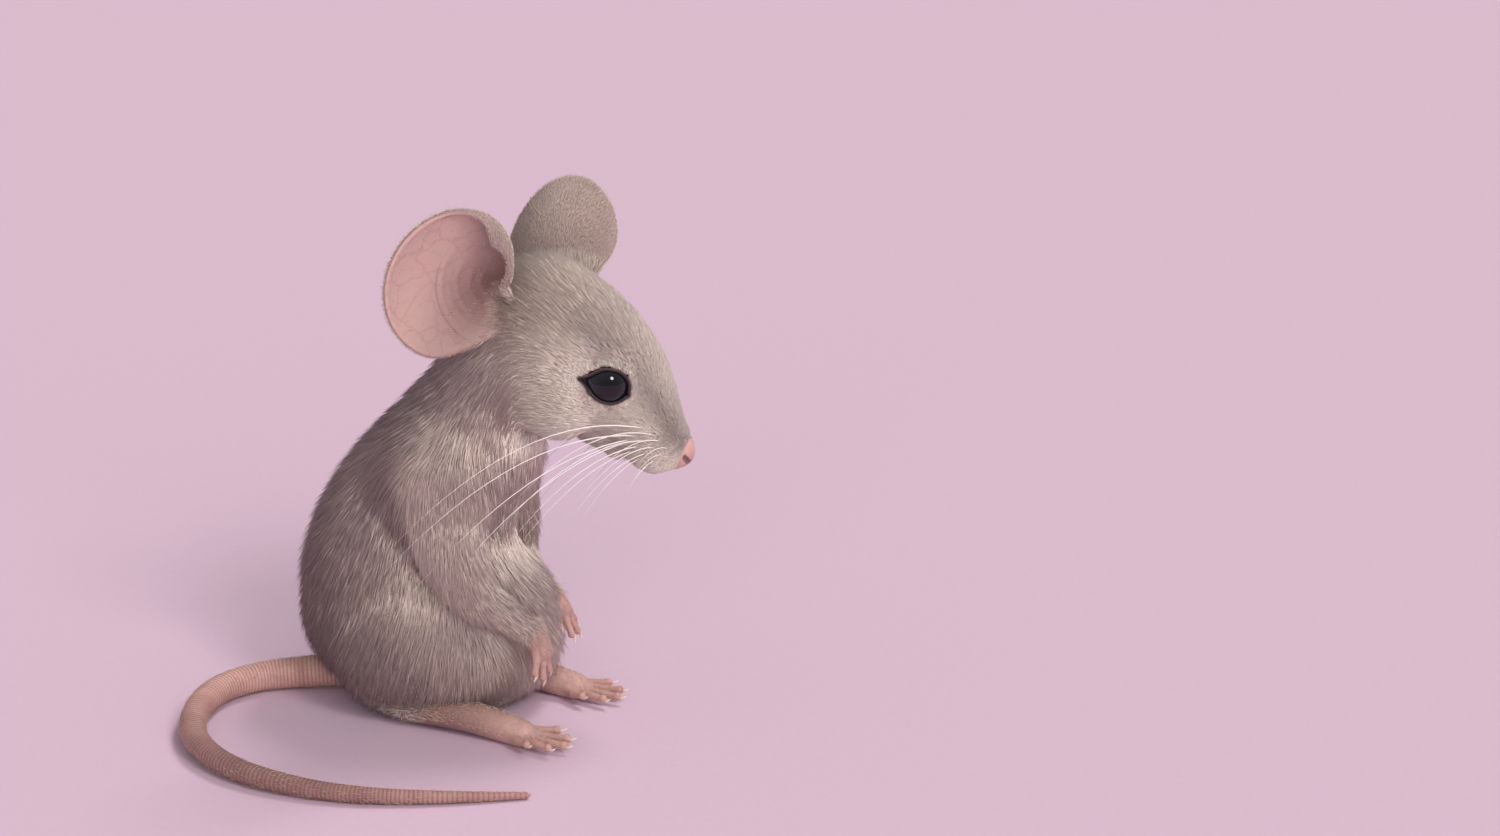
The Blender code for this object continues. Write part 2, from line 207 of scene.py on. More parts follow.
def smooth_cut(a, b, melt):
    """Form a with form b taken out of it."""
    return -smooth_union(-a, b, melt)


def ellipsoid(points, centre, radii):
    q, radii = points - np.asarray(centre), np.asarray(radii, float)
    near = np.linalg.norm(q / radii, axis=1)
    steep = np.linalg.norm(q / (radii * radii), axis=1)
    return near * (near - 1) / np.maximum(steep, 1e-9)


def cone(points, start, end):
    """A round-ended bar from start to end, each a place and a radius."""
    a, b = np.asarray(start[:-1], float), np.asarray(end[:-1], float)
    t = np.clip(((points - a) @ (b - a)) / ((b - a) @ (b - a)), 0, 1)
    radius = start[-1] + (end[-1] - start[-1]) * t
    return np.linalg.norm(points - a - t[:, None] * (b - a), axis=1) - radius


def smooth_line(stations, steps):
    """Catmull-Rom through the stations: places in the first columns, radii in the rest."""
    rows = np.asarray(stations, float)
    rows = np.vstack([2 * rows[0] - rows[1], rows, 2 * rows[-1] - rows[-2]])
    along = np.linspace(0, len(rows) - 3 - 1e-9, steps)
    first = along.astype(int)
    t = (along - first)[:, None]
    a, b, c, d = rows[first], rows[first + 1], rows[first + 2], rows[first + 3]
    bend = (2 * a - 5 * b + 4 * c - d) * t**2 + (3 * b - a - 3 * c + d) * t**3
    return 0.5 * (2 * b + (c - a) * t + bend)


def swept(points, stations, steps, melt):
    """One form from masses set close together along a line."""
    d = None
    for row in smooth_line(stations, steps):
        mass = ellipsoid(points, row[:3], row[3:])
        d = mass if d is None else smooth_union(d, mass, melt)
    return d


def limb(points, stations, steps=26, melt=0.05):
    rows = smooth_line(stations, steps)
    d = None
    for start, end in zip(rows[:-1], rows[1:]):
        bar = cone(points, start, end)
        d = bar if d is None else smooth_union(d, bar, melt)
    return d


def nearby(form, points, middle, reach):
    """A form worked out only near its middle. Farther off, the distance to its ball will do."""
    d = np.linalg.norm(points - np.asarray(middle), axis=1) - reach
    near = d < 5.0
    if near.any():
        d[near] = form(points[near])
    return d


# ---------------------------------------------------------------- the head

def skull(q):
    """The head's form out to the tips of the coat, on its own axes."""
    d = swept(q, SKULL, 15, 0.8)
    for side in SIDES.values():
        d = smooth_union(d, ellipsoid(q, mirrored(CHEEK[0], side), CHEEK[1]), 3.0)
        d = smooth_union(d, ellipsoid(q, mirrored(WHISKER_PAD[0], side), WHISKER_PAD[1]), 1.5)
    lip = np.interp(q[:, 0], (19, 25), (2.0, 0.45))  # the mouth opens where the jaw melts in less
    return smooth_union(d, cone(q, *JAW), lip)


def eye_axes(side):
    """Rows out, fore and rise of an eye, on the head's axes."""
    out = unit(mirrored(EYE_GAZE, side))
    tilt = math.radians(EYE_TILT)
    fore = np.array((math.cos(tilt), 0.0, math.sin(tilt)))
    fore = unit(fore - out * (fore @ out))
    rise = np.cross(out, fore)
    return np.array((out, fore, rise * np.sign(rise[2])))


def eye_place(q, side):
    return (q - mirrored(EYE_PLACE, side)) @ eye_axes(side).T


def eye_opening(place):
    """Distance across the lids from the edge of their opening, below 0 inside it."""
    fore, rise = place[:, 1], place[:, 2]
    length, above, below = EYE_OPENING
    height = np.where(rise > 0, above, below)
    round_part = (np.hypot(fore / length, rise / height) - 1) * height
    flat = place[:, 1:]
    rear = cone(flat, (-2.1, -0.05, 1.0), (-3.45, -0.28, 0.16))
    front = cone(flat, (2.0, -0.3, 0.7), (2.75, -0.55, 0.08))
    return smooth_union(smooth_union(round_part, rear, 0.45), front, 0.3)


def add_lids(d, q, side):
    """Lids that wrap the eye, and a soft fold round them."""
    place = eye_place(q, side)
    d = smooth_union(d, np.linalg.norm(place, axis=1) - EYE_RADIUS - LID_THICK, 1.3)
    fold = np.exp(-(((eye_opening(place) - 1.15) / 0.3) ** 2)) * ease(place[:, 0], -0.3, 1.6)
    return d + 0.1 * fold


def open_lids(d, q, side):
    place = eye_place(q, side)
    socket = -smooth_union(0.04 - eye_opening(place), place[:, 0] - 0.25, 0.1)
    return smooth_cut(d, socket, 0.2)


NOSTRIL = ((33.3, 0.7, 0.2, 0.34), (32.3, 1.75, 0.75, 0.22))
PHILTRUM = ((33.1, 0.0, -1.0, 0.22), (31.2, 0.0, -3.0, 0.3))
MOUTH = ((31.2, 0.2, -2.75, 0.2), (28.2, 1.9, -3.75, 0.24), (24.6, 3.5, -4.3, 0.2))


def mouth_line(q):
    """Distance to the line where the lips meet, on either side."""
    place = folded(q)
    return np.minimum(cone(place, MOUTH[0], MOUTH[1]), cone(place, MOUTH[1], MOUTH[2]))


def add_nose(d, q):
    """Bare nose pad set off by a crease, comma-shaped nostrils, and the groove to the lip."""
    place = folded(q)
    crease = np.exp(-(((q[:, 0] - 30.7 - 0.12 * q[:, 2]) / 0.32) ** 2))
    d = d + 0.16 * crease * ease(q[:, 2], -2.4, -1.2)
    d = smooth_cut(d, cone(place, *NOSTRIL), 0.16)
    d = smooth_cut(d, mouth_line(q), 0.2)
    return smooth_cut(d, cone(place, *PHILTRUM), 0.25)


# ---------------------------------------------------------------- the ears

def ear_axes(side):
    """Base, then rows along, across and depth of an ear. Across points to its front edge."""
    along = unit(EAR_AXIS[side])
    mouth = np.asarray(EAR_MOUTH[side])
    mouth = unit(mouth - along * (mouth @ along))
    return on_head(EAR_BASE[side]), np.array((along, np.cross(along, mouth) * -SIDES[side], mouth))


def fold_place(along, across):
    """How far a place of the inner face lies from the notch, and its share of the folds there."""
    off_along, off_across = along - EAR_NOTCH[0], EAR_NOTCH[1] - across
    turn = np.arctan2(off_along, off_across)  # 0 points to the rear edge, a quarter turn to the tip
    return np.hypot(off_along, off_across), ease(turn, -0.45, 0.1) * ease(-turn, -1.9, -1.2)


def ear_cup(along, across):
    """Depth of the open blade: a shallow bowl, deepest at the ear's canal."""
    bowl = 2.6 * np.minimum(np.hypot((along - 7.8) / 9.5, across / 9.5), 1.3) ** 2 - 2.2
    return bowl - 1.8 * np.exp(-((along - 1.5) ** 2 + (across - 1.0) ** 2) / 9.0)


def ear_plane(side, reach, turn):
    """Along and across in the flat blade. It is a little wider where its edge will curl."""
    curl = EAR_CURL[side] * ease(turn, 0.4, 1.9) * ease(-turn, -3.14, -2.85)
    middle = EAR_LENGTH * 0.46
    along = middle + (EAR_LENGTH - middle) * reach * np.cos(turn)
    waist = 1 - 0.30 * np.clip(1 - along / middle, 0, 1) ** 2
    return along, EAR_WIDTH / 2 * reach * waist * np.sin(turn) * (1 + EAR_FLAP * curl), curl


def ear_sheet(side, reach, turn):
    """Along, across and depth of the middle of the blade, then along and across before the curl."""
    flat_along, flat_across, curl = ear_plane(side, reach, turn)
    along, across, _ = ear_plane(side, np.minimum(reach, 1 - EAR_TURNED * curl), turn)
    over = np.hypot(flat_along - along, flat_across - across)
    way = np.array((flat_along - along, flat_across - across)) / np.maximum(over, 1e-9)
    depth = ear_cup(along, across)
    lean = np.arctan((ear_cup(along + 0.01 * way[0], across + 0.01 * way[1]) - depth) / 0.01)
    bend = over / EAR_ROLL
    out = EAR_ROLL * (np.sin(bend + lean) - np.sin(lean))
    depth = depth + EAR_ROLL * (np.cos(lean) - np.cos(bend + lean))
    return along + out * way[0], across + out * way[1], depth, flat_along, flat_across


def ear_mesh(side):
    """The blade with its folds and a rounded rim, sunk into the head at its root."""
    base, axes = ear_axes(side)
    turn = np.linspace(0, math.tau, EAR_SPOKES, endpoint=False)[None, :]
    reach = (np.linspace(0, 1, EAR_RINGS + 1)[1:] ** 0.85)[:, None]

    def middle(r, t):
        return base + np.stack(ear_sheet(side, r, t)[:3], -1) @ axes

    sheet, step = middle(reach, turn), 1e-3
    outward = unit(middle(reach + step, turn) - sheet)
    round_it = unit(middle(reach, turn + step) - sheet)
    face = unit(np.cross(round_it, outward))
    face *= np.sign((face[:3] @ axes[2]).mean())
    away, share = fold_place(*ear_sheet(side, reach, turn)[3:])
    ridges = sum(np.exp(-(((away - fold) / 0.5) ** 2)) for fold in EAR_FOLDS) * share
    thick = EAR_THICK / 2 * (1.15 - 0.35 * reach) + 0.06 * ease(reach, 0.93, 0.99)
    inner = sheet + face * (thick + 0.3 * ridges * ease(-reach, -0.8, -0.6))[..., None]
    outer = sheet - face * thick[..., None]
    rim = [sheet[-1] + thick[-1, 0] * (math.cos(a) * face[-1] + math.sin(a) * outward[-1])
           for a in np.radians((30, 60, 90, 120, 150))]
    rows = [*inner, *rim, *outer[::-1]]
    points = np.concatenate([*rows, inner[0].mean(0)[None], outer[0].mean(0)[None]])
    marks = {name: np.zeros(len(points)) for name in ("inside", "crease", "fold")}
    marks["inside"][:(EAR_RINGS + 2) * EAR_SPOKES] = 1.0
    marks["inside"][-2] = 1.0
    # Share of the folds: painted shade lines run beside them.
    marks["crease"][:share.size] = 0.5 * share.ravel()
    marks["fold"][:share.size] = away.ravel()
    faces, last = [], (len(rows) - 1) * EAR_SPOKES
    for spoke in range(EAR_SPOKES):
        after = (spoke + 1) % EAR_SPOKES
        for row in range(len(rows) - 1):
            a, b = row * EAR_SPOKES, (row + 1) * EAR_SPOKES
            faces.append((a + spoke, b + spoke, b + after, a + after))
        faces.append((len(points) - 2, spoke, after))
        faces.append((len(points) - 1, last + after, last + spoke))
    a, b, c = (points[n] for n in faces[5][:3])
    if np.dot(np.cross(b - a, c - b), face[0, 0]) < 0:
        faces = [corners[::-1] for corners in faces]
    return points, faces, marks


# ---------------------------------------------------------------- skin of the body

def body_forms(points):
    """Distances to the trunk, the head and the two forelegs, out to the tips of the coat."""
    trunk = swept(points, SPINE, 15, 2.0)
    trunk = smooth_union(trunk, swept(points, BELLY, 3, 2.0), 5.0)
    for side in SIDES.values():
        trunk = smooth_union(trunk, ellipsoid(points, mirrored(HAUNCH[0], side), HAUNCH[1]), 3.0)
    head = nearby(skull, to_head(points), (15.0, 0.0, -1.0), 22.0)
    forelegs = [nearby(lambda p, s=side: limb(p, FORELEG[s]), points, FORELEG[side][2][:3], 20.0)
                for side in SIDES]
    return trunk, head, np.minimum(*forelegs)


def coat_depth(points):
    """How far the skin lies under the tips of the coat."""
    trunk, head, foreleg = body_forms(points)
    q = to_head(points)
    on_trunk = 2.2 - 1.2 * ease(-points[:, 2], -5.0, -0.5)
    head_depth = np.interp(q[:, 0], (-2, 8, 18, 24, 28, 31), (2.1, 1.8, 1.05, 0.7, 0.45, 0.03))
    arm_depth = np.interp(points[:, 2], (13, 20, 30), (0.3, 1.2, 1.9))
    depth = on_trunk + (head_depth - on_trunk) * ease(trunk - head, -2.0, 4.0)
    return depth + (arm_depth - depth) * ease(np.minimum(trunk, head) - foreleg, -0.5, 2.0)


def body_skin(points, eyes_open=True):
    trunk, head, foreleg = body_forms(points)
    # The shoulder runs into the neck, and the elbow stands free
    melt = np.interp(points[:, 2], (20, 31), (2.0, 6.5))
    d = smooth_union(smooth_union(trunk, head, 3.5), foreleg, melt) + coat_depth(points)
    q = to_head(points)
    near = (q[:, 0] > 12) & (head < 4.0)
    if near.any():
        face = d[near]
        for side in SIDES.values():
            face = add_lids(face, q[near], side)
            if eyes_open:
                face = open_lids(face, q[near], side)
        d[near] = add_nose(face, q[near])
    return np.maximum(d, FLOOR_GAP - points[:, 2])


# ---------------------------------------------------------------- skin of hands and feet

def digits(stations, lengths, spread, droop, width):
    """Root, knuckle, pad and claw tip of each digit at the end of a palm or instep."""
    rows = smooth_line(stations, 12)
    end, ahead = rows[-1, :3], unit(rows[-1, :3] - rows[-3, :3])
    across = unit(np.cross(ahead, width))
    lift = np.cross(across, ahead)
    middle = (len(lengths) - 1) / 2
    made = []
    for number, length in enumerate(lengths):
        part = (number - middle) / middle
        way = unit(ahead + across * part * spread)
        root = end + across * part * rows[-1, 3] * 0.8 - ahead * abs(part) * 0.9
        knuckle = root + way * length * 0.5 - lift * droop * 0.25
        pad = root + way * length - lift * droop
        claw = pad + way * CLAW_LENGTH - lift * (droop * 0.3 + 0.25)
        made.append((root, knuckle, pad, claw, lift, across))
    return made


def paw_skin(points, stations, plan):
    """A palm or instep with its digits, each with a knuckle and a pad under its tip."""
    d = limb(points, stations, 24)
    for root, knuckle, pad, claw, lift, _ in digits(stations, *plan):
        r = DIGIT_RADIUS
        sole, tip = pad - lift * 0.12, pad + (claw - pad) * 0.12
        digit = cone(points, (*root, r * 0.95), (*knuckle, r * 0.92))
        digit = smooth_union(digit, cone(points, (*knuckle, r * 0.92), (*pad, r * 0.78)), 0.12)
        digit = smooth_union(digit, cone(points, (*sole, r * 0.86), (*tip, r * 0.7)), 0.2)
        joint = np.linalg.norm(points - knuckle - lift * 0.1, axis=1) - r * 0.95
        d = smooth_union(d, smooth_union(digit, joint, 0.2), 0.4)
    return np.maximum(d, FLOOR_GAP - points[:, 2])


# ---------------------------------------------------------------- from a form to a mesh

def ruler(stops):
    """Places along one axis: the first, then up to each next stop in steps of the size it gives."""
    places = [stops[0][0]]
    for (low, _), (high, step) in zip(stops[:-1], stops[1:]):
        count = max(1, round((high - low) / step))
        places += [low + (high - low) * n / count for n in range(1, count + 1)]
    return np.array(places)


def slope(form, points, step=0.02):
    out = np.empty_like(points)
    for axis in range(3):
        nudge = np.zeros(3)
        nudge[axis] = step
        out[:, axis] = (form(points + nudge) - form(points - nudge)) / (2 * step)
    return out


def settle_on(form, points, rounds=3, limit=0.12):
    """Moves points onto the surface of a form."""
    for _ in range(rounds):
        rise = slope(form, points)
        shift = np.clip(form(points) / np.maximum((rise * rise).sum(1), 0.05), -limit, limit)
        points = points - rise * shift[:, None]
    return points


def surface_mesh(form, xs, ys, zs):
    """Closed quad mesh of the surface where form is 0, over a grid with these rulers."""
    rulers = (xs, ys, zs)
    shape = tuple(len(r) for r in rulers)
    starts = [np.arange(0, n - 1, BLOCK) for n in shape]
    ends = [np.minimum(s + BLOCK, n - 1) for s, n in zip(starts, shape)]
    middles = [(r[s] + r[e]) / 2 for r, s, e in zip(rulers, starts, ends)]
    halves = [(r[e] - r[s]) / 2 for r, s, e in zip(rulers, starts, ends)]
    centre = np.stack(np.meshgrid(*middles, indexing="ij"), -1).reshape(-1, 3)
    half = np.stack(np.meshgrid(*halves, indexing="ij"), -1).reshape(-1, 3)
    close = np.abs(form(centre)) < np.linalg.norm(half, axis=1) * 1.5 + 1.0
    wanted = np.zeros(shape, bool)
    for block in np.argwhere(close.reshape([len(s) for s in starts])) * BLOCK:
        wanted[tuple(slice(b, b + BLOCK + 1) for b in block)] = True
    ids = np.argwhere(wanted)
    points = np.stack([r[ids[:, axis]] for axis, r in enumerate(rulers)], 1)
    value = np.full(shape, np.nan)
    lots = np.array_split(points, len(points) // LOT + 1)
    value[wanted] = np.concatenate([form(lot) for lot in lots])

    known, inside = ~np.isnan(value), value < 0
    corners = [(a, b, c) for a in (0, 1) for b in (0, 1) for c in (0, 1)]
    cells = tuple(n - 1 for n in shape)
    full, count = np.ones(cells, bool), np.zeros(cells, int)
    for corner in corners:
        part = tuple(slice(c, c + n) for c, n in zip(corner, cells))
        full &= known[part]
        count += inside[part]
    active = full & (count > 0) & (count < 8)
    cell = np.argwhere(active)
    number = np.full(cells, -1)
    number[active] = np.arange(len(cell))

    total, crossings = np.zeros((len(cell), 3)), np.zeros(len(cell))
    for corner in corners:
        for axis in range(3):
            if corner[axis]:
                continue
            here = cell + corner
            there = here + np.eye(3, dtype=int)[axis]
            a, b = value[tuple(here.T)], value[tuple(there.T)]
            crossed = (a < 0) != (b < 0)
            share = np.where(crossed, a / np.where(crossed, a - b, 1), 0)
            place = np.stack([r[here[:, n]] for n, r in enumerate(rulers)], 1)
            place[:, axis] += share * (rulers[axis][there[:, axis]] - rulers[axis][here[:, axis]])
            total += np.where(crossed[:, None], place, 0)
            crossings += crossed
    points = total / crossings[:, None]

    faces = []
    for axis in range(3):
        first, second = (axis + 1) % 3, (axis + 2) % 3
        low = tuple(slice(0, -1) if n == axis else slice(None) for n in range(3))
        high = tuple(slice(1, None) if n == axis else slice(None) for n in range(3))
        edge = np.argwhere((inside[low] != inside[high]) & known[low] & known[high])
        for other in (first, second):
            edge = edge[(edge[:, other] > 0) & (edge[:, other] < shape[other] - 1)]
        ring = []
        for back, down in ((1, 1), (0, 1), (0, 0), (1, 0)):
            near = edge.copy()
            near[:, first] -= back
            near[:, second] -= down
            ring.append(number[tuple(near.T)])
        quad = np.stack(ring, 1)
        outward = inside[low][tuple(edge.T)]
        quad[~outward] = quad[~outward][:, ::-1]
        faces.append(quad[(quad >= 0).all(1)])
    return settle_on(form, points), np.concatenate(faces)


def edit_mesh(points, faces):
    """A mesh open for editing, its vertices numbered as the points are."""
    mesh = bmesh.new()
    corners = [mesh.verts.new(p) for p in points.tolist()]
    for face in faces:
        mesh.faces.new([corners[n] for n in face])
    mesh.verts.index_update()
    return mesh


def edited_faces(mesh):
    """The faces of a mesh that was open for editing, which is closed."""
    faces = [[v.index for v in f.verts] for f in mesh.faces]
    mesh.free()
    return faces


def outward_faces(points, faces):
    """The faces of a closed mesh turned outward."""
    mesh = edit_mesh(points, faces)
    bmesh.ops.recalc_face_normals(mesh, faces=mesh.faces)
    return edited_faces(mesh)


def refined(form, points, faces, wanted):
    """Splits the faces whose corners are all wanted, and settles the new points on the form."""
    mesh = edit_mesh(points, faces)
    pick = wanted(points)
    edges = [e for e in mesh.edges if pick[e.verts[0].index] and pick[e.verts[1].index]]
    bmesh.ops.subdivide_edges(mesh, edges=edges, cuts=1, use_grid_fill=True)
    mesh.verts.index_update()
    points = np.array([v.co[:] for v in mesh.verts])
    faces = edited_faces(mesh)
    moving = wanted(points)
    points[moving] = settle_on(form, points[moving], 2, 0.06)
    return points, faces


def near_eye(q, reach):
    """Points whose place is within reach of the edge of either eye's opening."""
    found = np.zeros(len(q), bool)
    for side in SIDES.values():
        place = eye_place(q, side)
        on_lid = (place[:, 0] > -1.5) & (np.linalg.norm(place, axis=1) < 4.5)
        found |= (np.abs(eye_opening(place)) < reach) & on_lid
    return found


def in_detail(points):
    """Where the skin's mesh is split once: the muzzle and round the eyes."""
    q = to_head(points)
    return (q[:, 0] > 24.0) | near_eye(q, 1.2)


def in_fine_detail(points):
    """Where it is split again: the nose, the lips and the edges of the lids."""
    q = to_head(points)
    return (q[:, 0] > 29.8) | near_eye(q, 0.6) | (mouth_line(q) < 0.5)


def body_mesh():
    xs = ruler(((-19, 0), (7, COARSE), (41, FINE)))
    ys = ruler(((-18, 0), (18, FINE)))
    zs = ruler(((-0.6, 0), (43, COARSE), (71, FINE)))
    points, faces = surface_mesh(body_skin, xs, ys, zs)
    points, faces = refined(body_skin, points, faces, in_detail)
    return refined(body_skin, points, faces, in_fine_detail)


def lid_edge(side):
    """The smooth edge of the lids: a thin closed roll along their opening."""
    turns = np.linspace(0, math.tau, LID_STEPS, endpoint=False)

    def round_eye(depth, reach):
        return np.column_stack([depth, reach * np.cos(turns), reach * np.sin(turns)])

    low, high = np.zeros(LID_STEPS), np.full(LID_STEPS, 5.0)
    for _ in range(30):
        reach = (low + high) / 2
        outside = eye_opening(round_eye(reach, reach)) > 0
        low, high = np.where(outside, low, reach), np.where(outside, reach, high)
    axes = eye_axes(side)
    place = round_eye(np.full(LID_STEPS, EYE_RADIUS), reach)

    def risen(rise):
        return on_head(mirrored(EYE_PLACE, side) + (place + rise[:, None] * (1, 0, 0)) @ axes)

    def height(rise):
        return body_skin(risen(rise), False)

    rise = np.zeros(LID_STEPS)
    for _ in range(12):
        steep = np.maximum((height(rise + 0.01) - height(rise)) / 0.01, 0.2)
        rise -= np.clip(height(rise) / steep, -0.6, 0.6)
    middle = risen(rise - LID_EDGE * 0.8)
    along = unit(np.roll(middle, -1, 0) - np.roll(middle, 1, 0))
    across = unit(np.cross(along, axes[0] @ HEAD_AXES))
    up = np.cross(across, along)
    points = np.concatenate([middle + LID_EDGE * (math.cos(a) * across + math.sin(a) * up)
                             for a in np.linspace(0, math.tau, LID_SIDES, endpoint=False)])
    faces = []
    for ring in range(LID_SIDES):
        a, b = ring * LID_STEPS, (ring + 1) % LID_SIDES * LID_STEPS
        for step in range(LID_STEPS):
            after = (step + 1) % LID_STEPS
            faces.append((a + step, a + after, b + after, b + step))
    return points, outward_faces(points, faces)


def paw_mesh(stations, plan):
    claws = [claw for _, _, _, claw, _, _ in digits(stations, *plan)]
    line = np.array([row[:3] for row in stations] + claws)
    low, high = line.min(0) - 2.4, line.max(0) + 2.4
    low[2] = max(low[2], -0.4)
    rulers = [ruler(((a, 0), (b, PAW_STEP))) for a, b in zip(low, high)]
    return surface_mesh(lambda points: paw_skin(points, stations, plan), *rulers)


def strip(first, second, sides):
    """Quads between two rings of points, numbered from first and from second."""
    following = [(side + 1) % sides for side in range(sides)]
    return [(first + side, second + side, second + after, first + after)
            for side, after in enumerate(following)]


# ---------------------------------------------------------------- skin of the tail

def tail_line():
    """Middle line of the tail with its radius, resting on the floor all along."""
    rows = smooth_line(TAIL, TAIL_RINGS * 3 + 1)
    return np.column_stack([rows[:, :2], rows[:, 2] + FLOOR_GAP, rows[:, 2] * 0.94])


def tail_mesh():
    """Rings of scales that overlap toward the tip, drawn in to a soft point."""
    rows = tail_line()
    turns = np.linspace(0, 2 * math.pi, TAIL_SIDES, endpoint=False)
    ways = unit(np.gradient(rows[:, :3], axis=0))
    points, faces = [], []
    for number, (row, way) in enumerate(zip(rows, ways)):
        across = unit(np.cross(way, (0, 0, 1)))
        lift = np.cross(across, way)
        radius = row[3] + (0.0, 0.045, -0.035)[number % 3]
        for turn in turns:
            points.append(row[:3] + radius * (math.cos(turn) * across + math.sin(turn) * lift))
    last = len(rows) - 1
    for number in range(last):
        faces += strip(number * TAIL_SIDES, (number + 1) * TAIL_SIDES, TAIL_SIDES)
    points += [rows[0, :3] - ways[0] * 0.8, rows[-1, :3] + ways[-1] * rows[-1, 3]]
    for side in range(TAIL_SIDES):
        after = (side + 1) % TAIL_SIDES
        faces.append((len(points) - 2, side, after))
        faces.append((len(points) - 1, last * TAIL_SIDES + after, last * TAIL_SIDES + side))
    points = np.array(points)
    points[:, 2] = np.maximum(points[:, 2], FLOOR_GAP)
    # Painted shade in the sunken groove after every third ring.
    grooves = np.repeat(np.arange(len(rows)) % 3 == 2, TAIL_SIDES)
    grooves = np.concatenate([grooves, (False, False)])
    return points, faces, {"crease": grooves * 0.55}


# ---------------------------------------------------------------- what the skin carries

def nearest_on(points, rows):
    """Share of the way along a line, the line's direction and the way out from it, at each point."""
    best = np.full(len(points), np.inf)
    share, way, out = np.zeros(len(points)), np.zeros_like(points), np.zeros_like(points)
    for number, (a, b) in enumerate(zip(rows[:-1, :3], rows[1:, :3])):
        t = np.clip(((points - a) @ (b - a)) / ((b - a) @ (b - a)), 0, 1)
        off = points - a - t[:, None] * (b - a)
        gap = (off * off).sum(1)
        closer = gap < best
        best[closer] = gap[closer]
        share[closer] = (number + t[closer]) / (len(rows) - 1)
        way[closer] = unit(b - a)
        out[closer] = off[closer]
    return share, way, unit(out)


def around(way, out):
    """Angle of the way out round a line, from -1 to 1, with 0 upward."""
    side = unit(np.cross(way, (0.0, 0.02, 1.0)))
    lift = np.cross(side, way)
    return np.arctan2((out * side).sum(1), (out * lift).sum(1)) / math.pi


def blend(a, b, share):
    share = np.asarray(share)[:, None] if np.ndim(a) > 1 or np.ndim(b) > 1 else share
    return a * (1 - share) + b * share


def look_over(points, normals):
    """Each point's place, its distances to the forms, and its share in the head and a foreleg."""
    trunk, head, foreleg = body_forms(points)
    near = np.minimum(trunk, head)
    return SimpleNamespace(
        points=points, normals=normals, height=points[:, 2], q=to_head(points),
        trunk=trunk, head=head, foreleg=foreleg, near=near,
        on_head=ease(trunk - head, -1.5, 3.5), on_leg=ease(near - foreleg, -0.3, 1.5))


def comb(at):
    """Lie and length of the hair on the trunk and head."""
    x, y, level = at.points[:, 0], at.points[:, 1], np.zeros(len(at.points))
    # The trunk: down the back and sides from the nape to the tail, drawn in toward the belly
    backward = np.interp(at.height, (2, 12, 30, 50), (-0.45, -0.15, -0.12, -0.55))
    down = np.column_stack([backward, -0.10 * np.sign(y), level - 1.0])
    outward = np.column_stack([x - 6, y, level]) * 0.1
    under = ease(-at.normals[:, 2], 0.55, 0.95) * ease(-at.height, -9, -3)
    # The head: away from the nose, round the eyes and down the cheeks
    from_nose = unit(at.q - (35.0, 0.0, -0.5)) - (0, 0, 0.18)
    lie = blend(blend(down, outward, under), from_nose @ HEAD_AXES, at.on_head)
    along = (-2, 8, 14, 20, 25, 29, 32)
    on_head = np.interp(at.q[:, 0], along, (5.0, 4.0, 3.0, 2.1, 1.5, 0.9, 0.4))
    on_trunk = np.interp(at.height, (0, 6, 30, 46), (3.6, 5.4, 5.4, 5.0))
    return lie, blend(on_trunk, on_head, at.on_head)


def bearing(places, aside):
    """Angles forward and upward of places from a middle, each from 0 to 1."""
    beside = np.abs(places[:, 1])
    forward = np.arctan2(places[:, 0], beside + aside)
    upward = np.arctan2(places[:, 2], np.hypot(places[:, 0], beside))
    return np.column_stack([forward, upward]) / math.pi + 0.5


def unwrap(at):
    """Zone and place on the unwrap of the trunk and head."""
    headward = at.head < at.trunk
    on_trunk, on_head = bearing(at.points - (3, 0, 20), 0.01), bearing(at.q - (12, 0, 0), 4)
    wrap = blend(on_trunk, on_head, headward.astype(float))
    frontward = at.points[:, 0] > 6.5 + 0.12 * (at.height - 10)
    zone = np.where(headward, HEAD, np.where(frontward, BELLY_FUR, RUMP))
    zone = zone + (at.points[:, 1] > 0)
    zone[(zone <= RUMP + 1) & (at.height > 20)] += BACK - RUMP
    zone[headward & (at.q[:, 0] > 21.5)] = MUZZLE
    return wrap, zone


def mark_fur(at):
    """Share of the pale and of the dark hair, painted shade among them, and of the bare nose pad."""
    x, q, normals = at.points[:, 0], at.q, at.normals
    off_head = 1 - at.on_head
    belly = ease(x, 6, 17) * (0.6 + 0.4 * ease(normals[:, 0], 0, 0.7)) * off_head
    # The paler belly, less pale where it faces up: painted shade that tones down the light from above
    # there.
    belly = blend(belly * (1 - 0.9 * ease(normals[:, 2], -0.3, 0.4)), 0.12, at.on_leg)
    throat = ease(-q[:, 2], 1.5, 6.5) * ease(q[:, 2], -12.0, -8.5) * at.on_head
    face = ease(q[:, 0], 6, 17) * at.on_head * (1 - 0.5 * ease(q[:, 2], 3.5, 8.0))
    # Where the face turns up and forward into the key light it is less pale and darker: partly the darker
    # coat along the top of the head, partly painted shade that tones down the key light there.
    top = ease(normals[:, 0] + normals[:, 2], 0.1, 1.1)
    pale = np.maximum(belly, np.maximum(throat, face * (0.95 - 0.9 * top)))
    # Painted shade: a darker band at the back of the neck, where the head meets the trunk.
    nape = ease(np.abs(at.trunk - at.head), 6.0, 0.0) * ease(-x, -16.0, -8.0)
    back = ease(-normals[:, 0], -0.5, 0.85) * off_head
    back = np.maximum(back, 0.55 * nape) * (1 - at.on_leg) * 0.95
    bare = ease(q[:, 0] + 0.35 * q[:, 2], 32.0, 32.35) * at.on_head
    # Painted shade on the top of the belly, toning down the light from above where it faces up.
    shelf_shade = ease(normals[:, 2], 0.1, 0.7) * ease(x, 5, 12) * off_head  # the top of the belly
    dark = np.maximum(np.maximum(back, face * top * 0.8) * (1 - bare), 0.5 * shelf_shade)
    return pale, dark, bare


